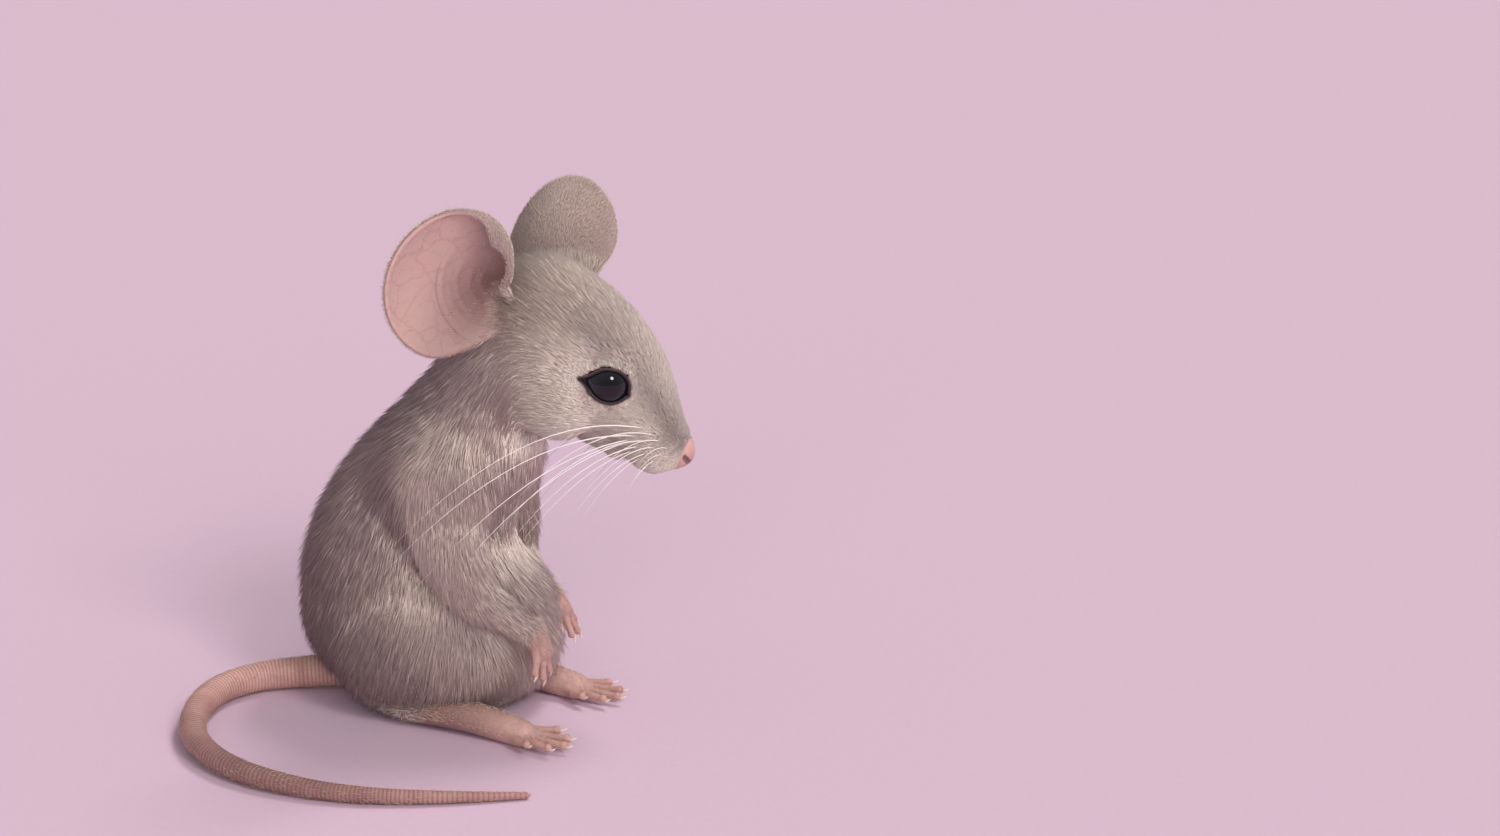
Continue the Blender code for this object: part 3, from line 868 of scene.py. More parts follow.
def dress_forelegs(at, it):
    """The forelegs: toward the wrist."""
    for side, sign in SIDES.items():
        mine = (at.foreleg < at.near + 2.0) & (at.points[:, 1] * sign > 0)
        share, way, out = nearest_on(at.points[mine], smooth_line(FORELEG[side], 16))
        part = at.on_leg[mine]
        it.lie[mine] = blend(it.lie[mine], way + (-0.12, 0, -0.1), part)
        length = np.interp(share, (0.3, 0.7, 0.92, 1.0), (4.4, 3.2, 1.8, 1.0))
        it.length[mine] = blend(it.length[mine], length, part)
        leg = np.flatnonzero(mine)[part > 0.5]
        it.zone[leg] = FORELEG_FUR[side]
        it.wrap[leg] = np.column_stack([share, around(way, out)])[part > 0.5]


def clear_face(at, it):
    """Round the eyes the hair is short. The lids, lips and nostrils are bare and dark: the lids' edges
    are dark, and the lips' line and the nostrils carry painted shade.
    """
    lips = mouth_line(at.q)
    nostril = cone(folded(at.q), *NOSTRIL)
    lip_shade, nostril_shade = 1 - ease(lips, 0.0, 0.3), 1 - ease(nostril, -0.05, 0.2)
    # Painted shade along the lips' line and in the nostrils.
    it.rim = np.maximum(0.8 * lip_shade, 0.75 * nostril_shade) * at.on_head
    it.cover *= ease(lips, 0.05, 0.3)
    for side in SIDES.values():
        place = eye_place(at.q, side)
        near = (np.linalg.norm(place, axis=1) < 6.0) & (place[:, 0] > -1.0)
        opening = eye_opening(place[near])
        it.rim[near] = np.maximum(it.rim[near], 1 - ease(opening, 0.1, 0.42))
        it.length[near] *= np.interp(opening, (0.3, 1.3, 3.0), (0.24, 0.5, 1.0))
        it.cover[near] *= ease(opening, 0.24, 0.42)
        away = unit(place[near] * (0, 1, 1)) @ eye_axes(side) @ HEAD_AXES
        it.lie[near] = blend(unit(it.lie[near]), away, 0.62 * ease(-opening, -1.8, -0.3))


def dress_ears(at, it, region, inside):
    """Ears: bare inside, a fine down behind, both toward the rim."""
    for side, sign in SIDES.items():
        mine = region == REGIONS.index("ear_" + side)
        base, axes = ear_axes(side)
        along, across, _ = ((at.points[mine] - base) @ axes.T).T
        hollow, sunk = inside[mine], at.near[mine]
        root = 1 - ease(sunk, -0.6, 1.6)
        spread = unit(np.column_stack([np.full(len(along), 0.8), across * 0.11]))
        rimward = spread[:, :1] * axes[0] + spread[:, 1:] * axes[1]
        it.lie[mine] = blend(rimward, it.lie[mine], root * 0.5)
        it.length[mine] = blend(0.75 - 0.2 * hollow, 2.4 - 0.6 * hollow, root)
        cover = blend(1.0, 0.04, hollow) + 0.35 * root * hollow
        it.cover[mine] = cover * ease(sunk, -1.9, -0.8)
        it.lift[mine] = EAR_LIFT
        it.inner[mine] = hollow * (1 - 0.8 * root)
        it.fleece[mine] = blend(0.62 + 0.38 * root, 0.35 * root, hollow)
        it.pale[mine] *= root
        # Dark share: the tan back of the ear, and inside, painted shade deep in the bowl toward the base.
        dark = 0.52 * (1 - hollow) + 0.45 * hollow * ease(-along, -13.0, -4.0)
        it.dark[mine] = blend(dark, it.dark[mine], root)
        # Painted shade round the ear's canal.
        canal = np.exp(-((along - 2.2) ** 2 + (across - 0.6) ** 2) / 34.0)
        it.crease[mine] = 0.78 * hollow * canal
        it.zone[mine] = EARS
        left_edge = 0.02 if sign > 0 else 0.52
        it.wrap[mine] = np.column_stack([np.clip(across / 24 + 0.5, 0, 1) * 0.46 + left_edge,
                                         np.clip(along / 21 + 0.1, 0, 1) * 0.46 + 0.02 + 0.5 * hollow])


def dress_paws(at, it, region):
    """Hands and feet: bare pink skin with a few fine hairs."""
    lines = {"hand_right": PALM["right"], "hand_left": PALM["left"],
             "foot_right": INSTEP["right"], "foot_left": INSTEP["left"]}
    for number, (name, stations) in enumerate(lines.items()):
        mine = region == REGIONS.index(name)
        share, way, out = nearest_on(at.points[mine], smooth_line(stations, 12))
        it.lie[mine] = way
        it.length[mine] = np.interp(share, (0, 0.25, 1), (2.2, 0.9, 0.6))
        it.cover[mine] = np.interp(share, (0, 0.3, 1), (1.0, 0.5, 0.3)) * (out[:, 2] > -0.3)
        it.fleece[mine] = 0.5 * ease(-share, -0.14, 0.0)
        it.pale[mine] = 0.3
        on_foot = "foot" in name
        # The feet darken toward the heel, under the body: painted shade, with a duskier skin; the hands
        # are evenly duskier.
        it.dark[mine] = np.interp(share, (0, 0.4, 0.85), (1.0, 0.8, 0.25)) if on_foot else 0.42
        it.zone[mine] = PAWS
        low, high = at.points[mine].min(0), at.points[mine].max(0)
        flat = (at.points[mine] - low) / (high - low)
        tall = flat[:, 1] if on_foot else flat[:, 2]
        it.wrap[mine] = np.column_stack([number * 0.25 + 0.01 + flat[:, 0] * 0.22,
                                         tall * 0.46 + 0.02 + 0.5 * (out[:, 2] > 0)])


def dress_tail(at, it, region):
    """The tail: short hairs among its scales, toward the tip."""
    mine = region == REGIONS.index("tail")
    share, way, out = nearest_on(at.points[mine], tail_line())
    it.lie[mine] = way + 0.25 * out
    it.length[mine] = 1.0
    it.cover[mine] = 0.4
    it.fleece[mine] = 0.0
    it.pale[mine] = 0.3
    it.dark[mine] = np.interp(share, (0, 0.1, 0.3, 0.55, 0.8, 1), (0.3, 0, 0, 0.75, 0.65, 0.4))
    it.zone[mine] = TAIL_DOWN
    it.wrap[mine] = np.column_stack([share, around(way, out) * 0.5 + 0.5])


def fill_squares(at, it):
    """Each piece of fur fills a square of its own on the unwrap."""
    muzzle = it.zone == MUZZLE
    it.wrap[muzzle, 0] += 1.2 * (at.points[muzzle, 1] > 0)
    for number in set(it.zone) - {EARS, PAWS, TAIL_DOWN}:
        mine = it.zone == number
        low, high = it.wrap[mine].min(0), it.wrap[mine].max(0)
        it.wrap[mine] = 0.01 + 0.975 * (it.wrap[mine] - low) / (high - low)


def describe(points, normals, region, inside):
    """Lie, length and thickness of the hair, the coat's colours with painted shade among them, and each
    point's place on the unwrap.
    """
    at, count = look_over(points, normals), len(points)
    it = SimpleNamespace()
    it.lie, it.length = comb(at)
    it.wrap, it.zone = unwrap(at)
    it.pale, it.dark, bare = mark_fur(at)
    it.cover, it.fleece = 1 - bare, 1 - bare
    it.lift = np.full(count, FUR_LIFT)
    it.inner, it.crease = np.zeros(count), np.zeros(count)
    dress_forelegs(at, it)
    clear_face(at, it)
    dress_ears(at, it, region, inside)
    dress_paws(at, it, region)
    dress_tail(at, it, region)
    fill_squares(at, it)
    lie = unit(it.lie)
    lie = unit(lie - normals * (lie * normals).sum(1)[:, None])
    return {
        "lie": lie, "hair": it.length * MM, "cover": it.cover, "lift": it.lift, "zone": it.zone,
        "pale": it.pale, "dark": it.dark, "fleece": it.fleece, "rim": it.rim, "inner": it.inner,
        "crease": it.crease, "tail": (region == REGIONS.index("tail")) * 1.0,
        "wrap": np.column_stack([it.wrap, np.zeros(count)]),
    }


# ---------------------------------------------------------------- objects

def add_object(name, data):
    made = bpy.data.objects.new(name, data)
    bpy.context.scene.collection.objects.link(made)
    return made


def place_mesh(name, points, faces, finish):
    """A named smooth object from points in millimetres."""
    mesh = bpy.data.meshes.new(name)
    mesh.from_pydata((np.asarray(points) * MM).tolist(), [], [list(map(int, face)) for face in faces])
    mesh.shade_smooth()
    mesh.materials.append(finish)
    return add_object(name, mesh)


def store(mesh, name, values, kind="FLOAT", domain="POINT"):
    layer = mesh.attributes.new(name, kind, domain)
    field = "vector" if kind == "FLOAT_VECTOR" else "value"
    values = np.ascontiguousarray(values, int if kind == "INT" else np.float32)
    layer.data.foreach_set(field, values.ravel())


def make_skin(finish):
    body = [body_mesh()] + [lid_edge(side) for side in SIDES.values()]
    parts = list(body)
    parts += [paw_mesh(PALM[side], FINGERS) for side in SIDES]
    parts += [paw_mesh(INSTEP[side], TOES) for side in SIDES]
    parts += [tail_mesh()]
    parts += [ear_mesh(side) for side in SIDES]
    points = np.concatenate([part[0] for part in parts])
    region, faces, first = np.zeros(len(points), int), [], 0
    marks = {name: np.zeros(len(points)) for name in ("inside", "crease", "fold")}
    for number, part in enumerate(parts):
        mine = slice(first, first + len(part[0]))
        region[mine] = max(0, number - len(body) + 1)  # the lids go with the body
        for name, values in (part[2] if len(part) > 2 else {}).items():
            marks[name][mine] = values
        faces += [[n + first for n in face] for face in part[1]]
        first = mine.stop
    skin = place_mesh("skin", points, faces, finish)
    normals = np.empty(len(points) * 3, np.float32)
    skin.data.vertices.foreach_get("normal", normals)
    carried = describe(points, normals.reshape(-1, 3).astype(float), region, marks["inside"])
    on_tail = region == REGIONS.index("tail")
    # The tail's grooves and the ear's folds: where the finish paints shade.
    carried["crease"] = np.maximum(carried["crease"], marks["crease"] * on_tail)
    carried["fold_share"] = marks["crease"] * (region > REGIONS.index("tail"))
    carried["fold"] = marks["fold"]
    zone = carried.pop("zone")
    store(skin.data, "zone", zone[[face[0] for face in faces]], "INT", "FACE")
    for name, values in carried.items():
        store(skin.data, name, values, "FLOAT_VECTOR" if values.ndim > 1 else "FLOAT")
    return skin


# ---------------------------------------------------------------- node trees

def plug(sockets, key):
    """The socket of that number, or the one in use that has that name."""
    if isinstance(key, int):
        return sockets[key]
    return next(s for s in sockets if s.name == key and s.enabled)


def node(tree, kind, inputs=None, **settings):
    """A new node with its settings made, and its inputs linked to sockets or set to values."""
    made = tree.nodes.new(kind)
    for key, value in settings.items():
        setattr(made, key, value)
    for key, value in (inputs or {}).items():
        socket = plug(made.inputs, key)
        if isinstance(value, bpy.types.NodeSocket):
            tree.links.new(value, socket)
        else:
            socket.default_value = value
    return made


def new_tree(name, kind, inputs, output):
    """A tree with named inputs and one output."""
    tree = bpy.data.node_groups.new(name, kind)
    for label, socket in inputs:
        tree.interface.new_socket(label, in_out="INPUT", socket_type=socket)
    tree.interface.new_socket(output[0], in_out="OUTPUT", socket_type=output[1])
    return tree


def math_node(tree, operation, a, b=0.0, clamp=False):
    return node(tree, "ShaderNodeMath", {0: a, 1: b}, operation=operation, use_clamp=clamp).outputs[0]


def vector_node(tree, operation, a, b=None, scale=None):
    inputs = {key: value for key, value in ((0, a), (1, b), ("Scale", scale)) if value is not None}
    return node(tree, "ShaderNodeVectorMath", inputs, operation=operation).outputs[0]


def carried_value(tree, name, kind="FLOAT"):
    """What the skin carries under that name, in Geometry Nodes."""
    made = node(tree, "GeometryNodeInputNamedAttribute", {"Name": name}, data_type=kind)
    return plug(made.outputs, "Attribute")


def random_value(tree, low, high, seed=0, kind="FLOAT"):
    inputs = {"Min": low, "Max": high, "Seed": seed}
    return plug(node(tree, "FunctionNodeRandomValue", inputs, data_type=kind).outputs, "Value")


def end_tree(tree, last, finish):
    """The tree's last two nodes: the finish set, and the way out."""
    made = node(tree, "GeometryNodeSetMaterial", {"Geometry": last.outputs[0], "Material": finish})
    node(tree, "NodeGroupOutput", {0: made.outputs[0]})


COAT_INPUTS = (
    ("Geometry", "NodeSocketGeometry"), ("Tuft", "NodeSocketObject"), ("Zone", "NodeSocketInt"),
    ("Tufts per square millimetre", "NodeSocketFloat"), ("Width", "NodeSocketFloat"),
    ("Stray", "NodeSocketFloat"), ("Seed", "NodeSocketInt"), ("Finish", "NodeSocketMaterial"),
)


def coat_tree():
    """Scatters tufts on one zone of the skin and lays each along the lie of the coat."""
    tree = new_tree("coat", "GeometryNodeTree", COAT_INPUTS, COAT_INPUTS[0])
    given = node(tree, "NodeGroupInput").outputs

    zone = carried_value(tree, "zone", "INT")
    mine = node(tree, "FunctionNodeCompare", {"A": zone, "B": given["Zone"]},
                data_type="INT", operation="EQUAL")
    density = math_node(tree, "MULTIPLY", given["Tufts per square millimetre"], 1.0 / MM**2)
    density = math_node(tree, "MULTIPLY", density, carried_value(tree, "cover"))
    scatter = node(tree, "GeometryNodeDistributePointsOnFaces", {
        "Mesh": given["Geometry"], "Selection": mine.outputs[0],
        "Density": density, "Seed": given["Seed"]})
    normal = scatter.outputs["Normal"]

    waves = node(tree, "ShaderNodeTexNoise", {"Scale": 210.0, "Detail": 2.0})
    sway = vector_node(tree, "SUBTRACT", waves.outputs["Color"], (0.5, 0.5, 0.5))
    sway = vector_node(tree, "SCALE", sway, scale=0.2)
    stray = random_value(tree, (-1, -1, -1), (1, 1, 1), kind="FLOAT_VECTOR")
    stray = vector_node(tree, "SCALE", stray, scale=given["Stray"])
    way = vector_node(tree, "ADD", carried_value(tree, "lie", "FLOAT_VECTOR"), sway)
    way = vector_node(tree, "NORMALIZE", vector_node(tree, "ADD", way, stray))
    rise = math_node(tree, "MULTIPLY", carried_value(tree, "lift"), random_value(tree, 0.72, 1.22, 3))
    way = vector_node(tree, "ADD", way, vector_node(tree, "SCALE", normal, scale=rise))
    turn = node(tree, "FunctionNodeAxesToRotation", {"Primary Axis": way, "Secondary Axis": normal},
                primary_axis="Z", secondary_axis="X")

    width = math_node(tree, "MULTIPLY", given["Width"], random_value(tree, 0.75, 1.25, 5))
    length = math_node(tree, "MULTIPLY", carried_value(tree, "hair"), random_value(tree, 0.7, 1.12, 7))
    size = node(tree, "ShaderNodeCombineXYZ", {0: width, 1: width, 2: length}).outputs[0]
    tuft = node(tree, "GeometryNodeObjectInfo", {"Object": given["Tuft"]}).outputs["Geometry"]
    placed = node(tree, "GeometryNodeInstanceOnPoints", {
        "Points": scatter.outputs["Points"], "Instance": tuft,
        "Rotation": turn.outputs[0], "Scale": size})
    toned = node(tree, "GeometryNodeStoreNamedAttribute", {
        "Geometry": placed.outputs[0], "Name": "tone", "Value": random_value(tree, 0.0, 1.0, 11),
    }, data_type="FLOAT", domain="INSTANCE")
    real = node(tree, "GeometryNodeRealizeInstances", {0: toned.outputs[0]})

    where = node(tree, "GeometryNodeInputPosition").outputs[0]
    where = node(tree, "ShaderNodeSeparateXYZ", {0: where}).outputs
    above = math_node(tree, "MAXIMUM", where[2], FLOOR_GAP * MM)
    above = node(tree, "ShaderNodeCombineXYZ", {0: where[0], 1: where[1], 2: above}).outputs[0]
    clear = node(tree, "GeometryNodeSetPosition", {"Geometry": real.outputs[0], "Position": above})
    patch = vector_node(tree, "SCALE", carried_value(tree, "patch", "FLOAT_VECTOR"), scale=PATCH)
    patch = vector_node(tree, "ADD", carried_value(tree, "wrap", "FLOAT_VECTOR"), patch)
    mapped = node(tree, "GeometryNodeStoreNamedAttribute", {
        "Geometry": clear.outputs[0], "Name": "OFBake", "Value": patch,
    }, data_type="FLOAT2", domain="CORNER")
    end_tree(tree, mapped, given["Finish"])
    return tree


def tuft(name, belly, bend):
    """A closed spike one long, one wide at its belly, that bows by bend widths."""
    points, patch = [(0.0, 0.0, 0.0)], [(0.5, 0, 0)]
    for side in range(3):
        turn = math.tau * side / 3
        points.append((0.5 * math.cos(turn) - bend * belly**2, 0.5 * math.sin(turn), belly))
        patch.append((side / 2, belly, 0))
    points.append((-bend, 0.0, 1.0))
    patch.append((0.5, 1, 0))
    faces = [(0, 2, 1), (0, 3, 2), (0, 1, 3), (1, 2, 4), (2, 3, 4), (3, 1, 4)]
    mesh = bpy.data.meshes.new(name)
    mesh.from_pydata(points, [], faces)
    mesh.shade_smooth()
    store(mesh, "patch", np.array(patch), "FLOAT_VECTOR")
    return bpy.data.objects.new(name, mesh)


def grown(name, source, tree, inputs):
    """The mesh that a Geometry Nodes tree makes from an object, as an object of its own."""
    modifier = source.modifiers.new(tree.name, "NODES")
    modifier.node_group = tree
    for item in tree.interface.items_tree:
        if item.item_type == "SOCKET" and item.in_out == "INPUT" and item.name in inputs:
            modifier[item.identifier] = inputs[item.name]
    bpy.context.view_layer.update()
    result = source.evaluated_get(bpy.context.evaluated_depsgraph_get())
    mesh = bpy.data.meshes.new_from_object(result)
    mesh.name = name
    source.modifiers.remove(modifier)
    return add_object(name, mesh)


# Tuft, tufts per square millimetre, width and stray of each kind of hair, then each piece's zone and hair
LONG_FUR = ("bowed_tuft", 33.0, 0.14, 0.10)
HEAD_FUR = ("bowed_tuft", 60.0, 0.10, 0.11)
LEG_FUR = ("bowed_tuft", 46.0, 0.12, 0.10)
COAT = {
    "coat_rump_right": (RUMP, LONG_FUR),
    "coat_rump_left": (RUMP + 1, LONG_FUR),
    "coat_back_right": (BACK, LONG_FUR),
    "coat_back_left": (BACK + 1, LONG_FUR),
    "coat_belly_right": (BELLY_FUR, LONG_FUR),
    "coat_belly_left": (BELLY_FUR + 1, LONG_FUR),
    "coat_head_right": (HEAD, HEAD_FUR),
    "coat_head_left": (HEAD + 1, HEAD_FUR),
    "coat_muzzle": (MUZZLE, ("straight_tuft", 74.0, 0.085, 0.11)),
    "coat_foreleg_right": (FORELEG_FUR["right"], LEG_FUR),
    "coat_foreleg_left": (FORELEG_FUR["left"], LEG_FUR),
    "down_ears": (EARS, ("straight_tuft", 26.0, 0.075, 0.16)),
    "down_paws": (PAWS, ("straight_tuft", 18.0, 0.05, 0.16)),
    "down_tail": (TAIL_DOWN, ("straight_tuft", 6.0, 0.045, 0.12)),
}
COAT_SEED = 20
KEPT_ON_HAIR = {"OFBake", "tone", "patch", "pale", "dark", "fleece"}


def make_coat(skin, finish):
    tree = coat_tree()
    shapes = (("bowed_tuft", 0.42, 3.6), ("straight_tuft", 0.3, 0.6))
    tufts = {shape[0]: tuft(*shape) for shape in shapes}
    pieces = []
    for seed, (name, (zone, (kind, density, width, stray))) in enumerate(COAT.items(), COAT_SEED):
        piece = grown(name, skin, tree, {
            "Tuft": tufts[kind], "Zone": zone, "Tufts per square millimetre": density,
            "Width": width * MM, "Stray": stray, "Seed": seed, "Finish": finish})
        for layer in [a.name for a in piece.data.attributes if not a.is_required]:
            if layer not in KEPT_ON_HAIR and not layer.startswith("."):
                piece.data.attributes.remove(piece.data.attributes[layer])
        piece.data.materials.clear()
        piece.data.materials.append(finish)
        pieces.append(piece)
    for spare in tufts.values():
        bpy.data.objects.remove(spare)
    return pieces


# ---------------------------------------------------------------- finishes

def srgb(red, green, blue):
    """Linear colour from the three screen values, 0 to 255."""
    values = (red / 255, green / 255, blue / 255)
    return (*(v / 12.92 if v < 11 / 255 else ((v + 0.055) / 1.055) ** 2.4 for v in values), 1.0)


def finish(name, roughness, **constants):
    made = bpy.data.materials.new(name)
    made.use_nodes = True
    shader = made.node_tree.nodes["Principled BSDF"]
    shader.inputs["Roughness"].default_value = roughness
    for key, value in constants.items():
        shader.inputs[key.replace("_", " ")].default_value = value
    return made, made.node_tree, shader


def on_surface(tree, name):
    """What the mesh carries under that name, in a finish."""
    return node(tree, "ShaderNodeAttribute", attribute_name=name).outputs["Fac"]


def mixed(tree, share, a, b, blend_type="MIX"):
    inputs = {"Factor": share, "A": a, "B": b}
    made = node(tree, "ShaderNodeMix", inputs, data_type="RGBA", blend_type=blend_type)
    return plug(made.outputs, "Result")


def noise(tree, scale, detail=3.0):
    where = node(tree, "ShaderNodeTexCoord").outputs["Object"]
    inputs = {"Vector": where, "Scale": scale, "Detail": detail}
    return node(tree, "ShaderNodeTexNoise", inputs).outputs["Fac"]


def remap(tree, value, low, high, to_low=0.0, to_high=1.0):
    inputs = {"Value": value, "From Min": low, "From Max": high, "To Min": to_low, "To Max": to_high}
    return node(tree, "ShaderNodeMapRange", inputs).outputs[0]


def speckled(tree, scale, detail, low, high, first, second):
    """Two colours in soft patches."""
    return mixed(tree, remap(tree, noise(tree, scale, detail), low, high), srgb(*first), srgb(*second))


FUR = srgb(230, 213, 204)
FUR_DARK_AND_SHADE = srgb(166, 151, 151)
FUR_PALE = srgb(246, 232, 223)


def fur_colours():
    """Group with the coat's colours, painted shade among them, shared by skin and hair."""
    tree = new_tree("fur colours", "ShaderNodeTree", (), ("Color", "NodeSocketColor"))
    cloud = remap(tree, noise(tree, 140.0, 4.0), 0.35, 0.65, -0.1, 0.1)
    # The dark share: the darker coat, with the painted shade that the skin carries.
    dark = math_node(tree, "ADD", on_surface(tree, "dark"), cloud, clamp=True)
    colour = mixed(tree, dark, FUR, FUR_DARK_AND_SHADE)
    colour = mixed(tree, on_surface(tree, "pale"), colour, FUR_PALE)
    node(tree, "NodeGroupOutput", {0: colour})
    return tree


def coat_finish(markings_and_shade):
    made, tree, shader = finish("coat", 0.7, Specular_IOR_Level=0.14)
    colour = node(tree, "ShaderNodeGroup", node_tree=markings_and_shade).outputs[0]
    # On bare skin the fine hairs are pale
    colour = mixed(tree, on_surface(tree, "fleece"), srgb(214, 188, 175), colour)
    patch = node(tree, "ShaderNodeAttribute", attribute_name="patch").outputs["Vector"]
    height = node(tree, "ShaderNodeSeparateXYZ", {0: patch}).outputs[1]
    # Each tuft darker toward its root: the hair's darker base, and partly painted shade deep in the coat.
    root = remap(tree, height, 0.0, 0.75, 0.78, 1.04)
    tone = remap(tree, on_surface(tree, "tone"), 0.0, 1.0, 0.89, 1.10)
    shade = math_node(tree, "MULTIPLY", root, tone)
    shade = node(tree, "ShaderNodeCombineColor", {0: shade, 1: shade, 2: shade}).outputs[0]
    tree.links.new(mixed(tree, 1.0, colour, shade, "MULTIPLY"), shader.inputs["Base Color"])
    return made


def fold_shade_lines(tree):
    """Painted shade: a soft dark line beside each fold of the ear, by distance from the notch."""
    reach = 12.0
    share = math_node(tree, "DIVIDE", on_surface(tree, "fold"), reach)
    lines = node(tree, "ShaderNodeValToRGB", {0: share})
    ramp = lines.color_ramp.elements
    ramp[0].color, ramp[1].color = (0, 0, 0, 1), (0, 0, 0, 1)
    for fold in EAR_FOLDS:
        for shift, bright in ((0.35, 0.15), (0.62, 1.0), (0.85, 0.0), (-0.5, 0.0)):
            ramp.new((fold + shift) / reach).color = (bright, bright, bright, 1)
    return lines.outputs[0]


def skin_finish(markings_and_shade):
    made, tree, shader = finish("skin", 0.48, Subsurface_Weight=0.35, Subsurface_Scale=0.0011,
                                Specular_IOR_Level=0.4)
    shader.inputs["Subsurface Radius"].default_value = (1.0, 0.42, 0.28)
    fur = node(tree, "ShaderNodeGroup", node_tree=markings_and_shade).outputs[0]
    fur = mixed(tree, 1.0, fur, (0.62, 0.6, 0.6, 1), "MULTIPLY")
    pink = speckled(tree, 420.0, 4.0, 0.35, 0.7, (204, 164, 156), (184, 140, 134))
    flush = remap(tree, noise(tree, 90.0, 2.0), 0.4, 0.65)
    blush = mixed(tree, flush, pink, srgb(210, 172, 164))
    tail = speckled(tree, 260.0, 3.0, 0.35, 0.65, (206, 164, 156), (184, 142, 136))
    bare = mixed(tree, on_surface(tree, "tail"), blush, tail)
    # Inside the ears the blood vessels branch through thin pale skin
    where = node(tree, "ShaderNodeTexCoord").outputs["Object"]
    bent = node(tree, "ShaderNodeTexNoise", {"Vector": where, "Scale": 260.0, "Detail": 3.0})
    bent = vector_node(tree, "SCALE", bent.outputs["Color"], scale=0.0045)
    bent = vector_node(tree, "ADD", where, bent)
    veins = node(tree, "ShaderNodeTexVoronoi", {"Vector": bent, "Scale": 230.0},
                 feature="DISTANCE_TO_EDGE")
    veins = remap(tree, veins.outputs["Distance"], 0.0, 0.05, 0.4, 0.0)
    ear = mixed(tree, veins, srgb(196, 164, 158), srgb(176, 130, 126))
    bare = mixed(tree, on_surface(tree, "inner"), bare, ear)
    # Painted shade: dark lines beside the ear's folds, round its canal and in the tail's grooves.
    folds = math_node(tree, "MULTIPLY", on_surface(tree, "fold_share"), fold_shade_lines(tree))
    folds = math_node(tree, "MAXIMUM", on_surface(tree, "crease"), folds)
    bare = mixed(tree, folds, bare, srgb(118, 84, 82))
    # The dark share: the tan backs of the ears and duskier skin, with painted shade deep in the ears and
    # on the feet toward the heel.
    dusky_and_shade = mixed(tree, 1.0, bare, (0.36, 0.31, 0.33, 1), "MULTIPLY")
    bare = mixed(tree, on_surface(tree, "dark"), bare, dusky_and_shade)
    colour = mixed(tree, on_surface(tree, "fleece"), bare, fur)
    # Dark edges of the lids, and painted shade along the lips' line and in the nostrils.
    colour = mixed(tree, on_surface(tree, "rim"), colour, srgb(48, 38, 39))
    tree.links.new(colour, shader.inputs["Base Color"])
    grain = noise(tree, 2600.0, 3.0)
    cells = node(tree, "ShaderNodeTexVoronoi", {"Vector": where, "Scale": 2400.0}).outputs["Distance"]
    relief = math_node(tree, "ADD", grain, cells)
    bump = node(tree, "ShaderNodeBump", {"Strength": 0.35, "Distance": 0.00006, "Height": relief})
    tree.links.new(bump.outputs[0], shader.inputs["Normal"])
    return made


def eye_finish():
    made, tree, shader = finish("eye", 0.06, Specular_IOR_Level=0.5)
    # Painted reflection: blue-grey toward the edge of the eye, black in its middle.
    depth = remap(tree, on_surface(tree, "gaze"), 0.35, 0.95)
    tree.links.new(mixed(tree, depth, srgb(34, 38, 52), srgb(5, 5, 8)), shader.inputs["Base Color"])
    return made


def claw_finish():
    made, tree, shader = finish("claw", 0.3, Subsurface_Weight=0.3, Subsurface_Scale=0.0004)
    along = remap(tree, on_surface(tree, "along"), 0.1, 0.9)
    colour = mixed(tree, along, srgb(206, 160, 150), srgb(236, 224, 210))
    tree.links.new(colour, shader.inputs["Base Color"])
    return made


def whisker_finish():
    made, tree, shader = finish("whisker", 0.3, Specular_IOR_Level=0.5)
    colour = speckled(tree, 300.0, 1.0, 0.3, 0.7, (250, 248, 246), (236, 230, 228))
    tree.links.new(colour, shader.inputs["Base Color"])
    return made


# ---------------------------------------------------------------- eyes, claws, whiskers

def make_eye(name, side, finish_of_eye):
    """Eyeball set where its solid is, with the clear front standing a little proud."""
    low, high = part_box(name)
    centre = np.array((low + high) / 2) / MM
    radius = (high.z - low.z) / 2 / MM
    out, fore, rise = eye_axes(side) @ HEAD_AXES
    rings, turns = 32, 56
    points, gaze, faces = [centre + out * radius * 1.03], [1.0], []
    for ring in range(1, rings):
        slant = math.pi * ring / rings
        swell = 1 + 0.03 * max(0.0, math.cos(slant)) ** 2
        for turn in range(turns):
            spin = math.tau * turn / turns
            aside = math.cos(spin) * fore + math.sin(spin) * rise
            way = math.cos(slant) * out + math.sin(slant) * aside
            points.append(centre + way * radius * swell)
            gaze.append(math.cos(slant))
    points.append(centre - out * radius)
    gaze.append(-1.0)
    for turn in range(turns):
        after = (turn + 1) % turns
        faces.append((0, 1 + turn, 1 + after))
        for ring in range(rings - 2):
            a, b = 1 + ring * turns, 1 + (ring + 1) * turns
            faces.append((a + turn, b + turn, b + after, a + after))
        last = 1 + (rings - 2) * turns
        faces.append((len(points) - 1, last + after, last + turn))
    if np.dot(np.cross(fore, rise), out) < 0:
        faces = [face[::-1] for face in faces]
    made = place_mesh(name + "_ball", points, faces, finish_of_eye)
    store(made.data, "gaze", np.array(gaze))
    return made


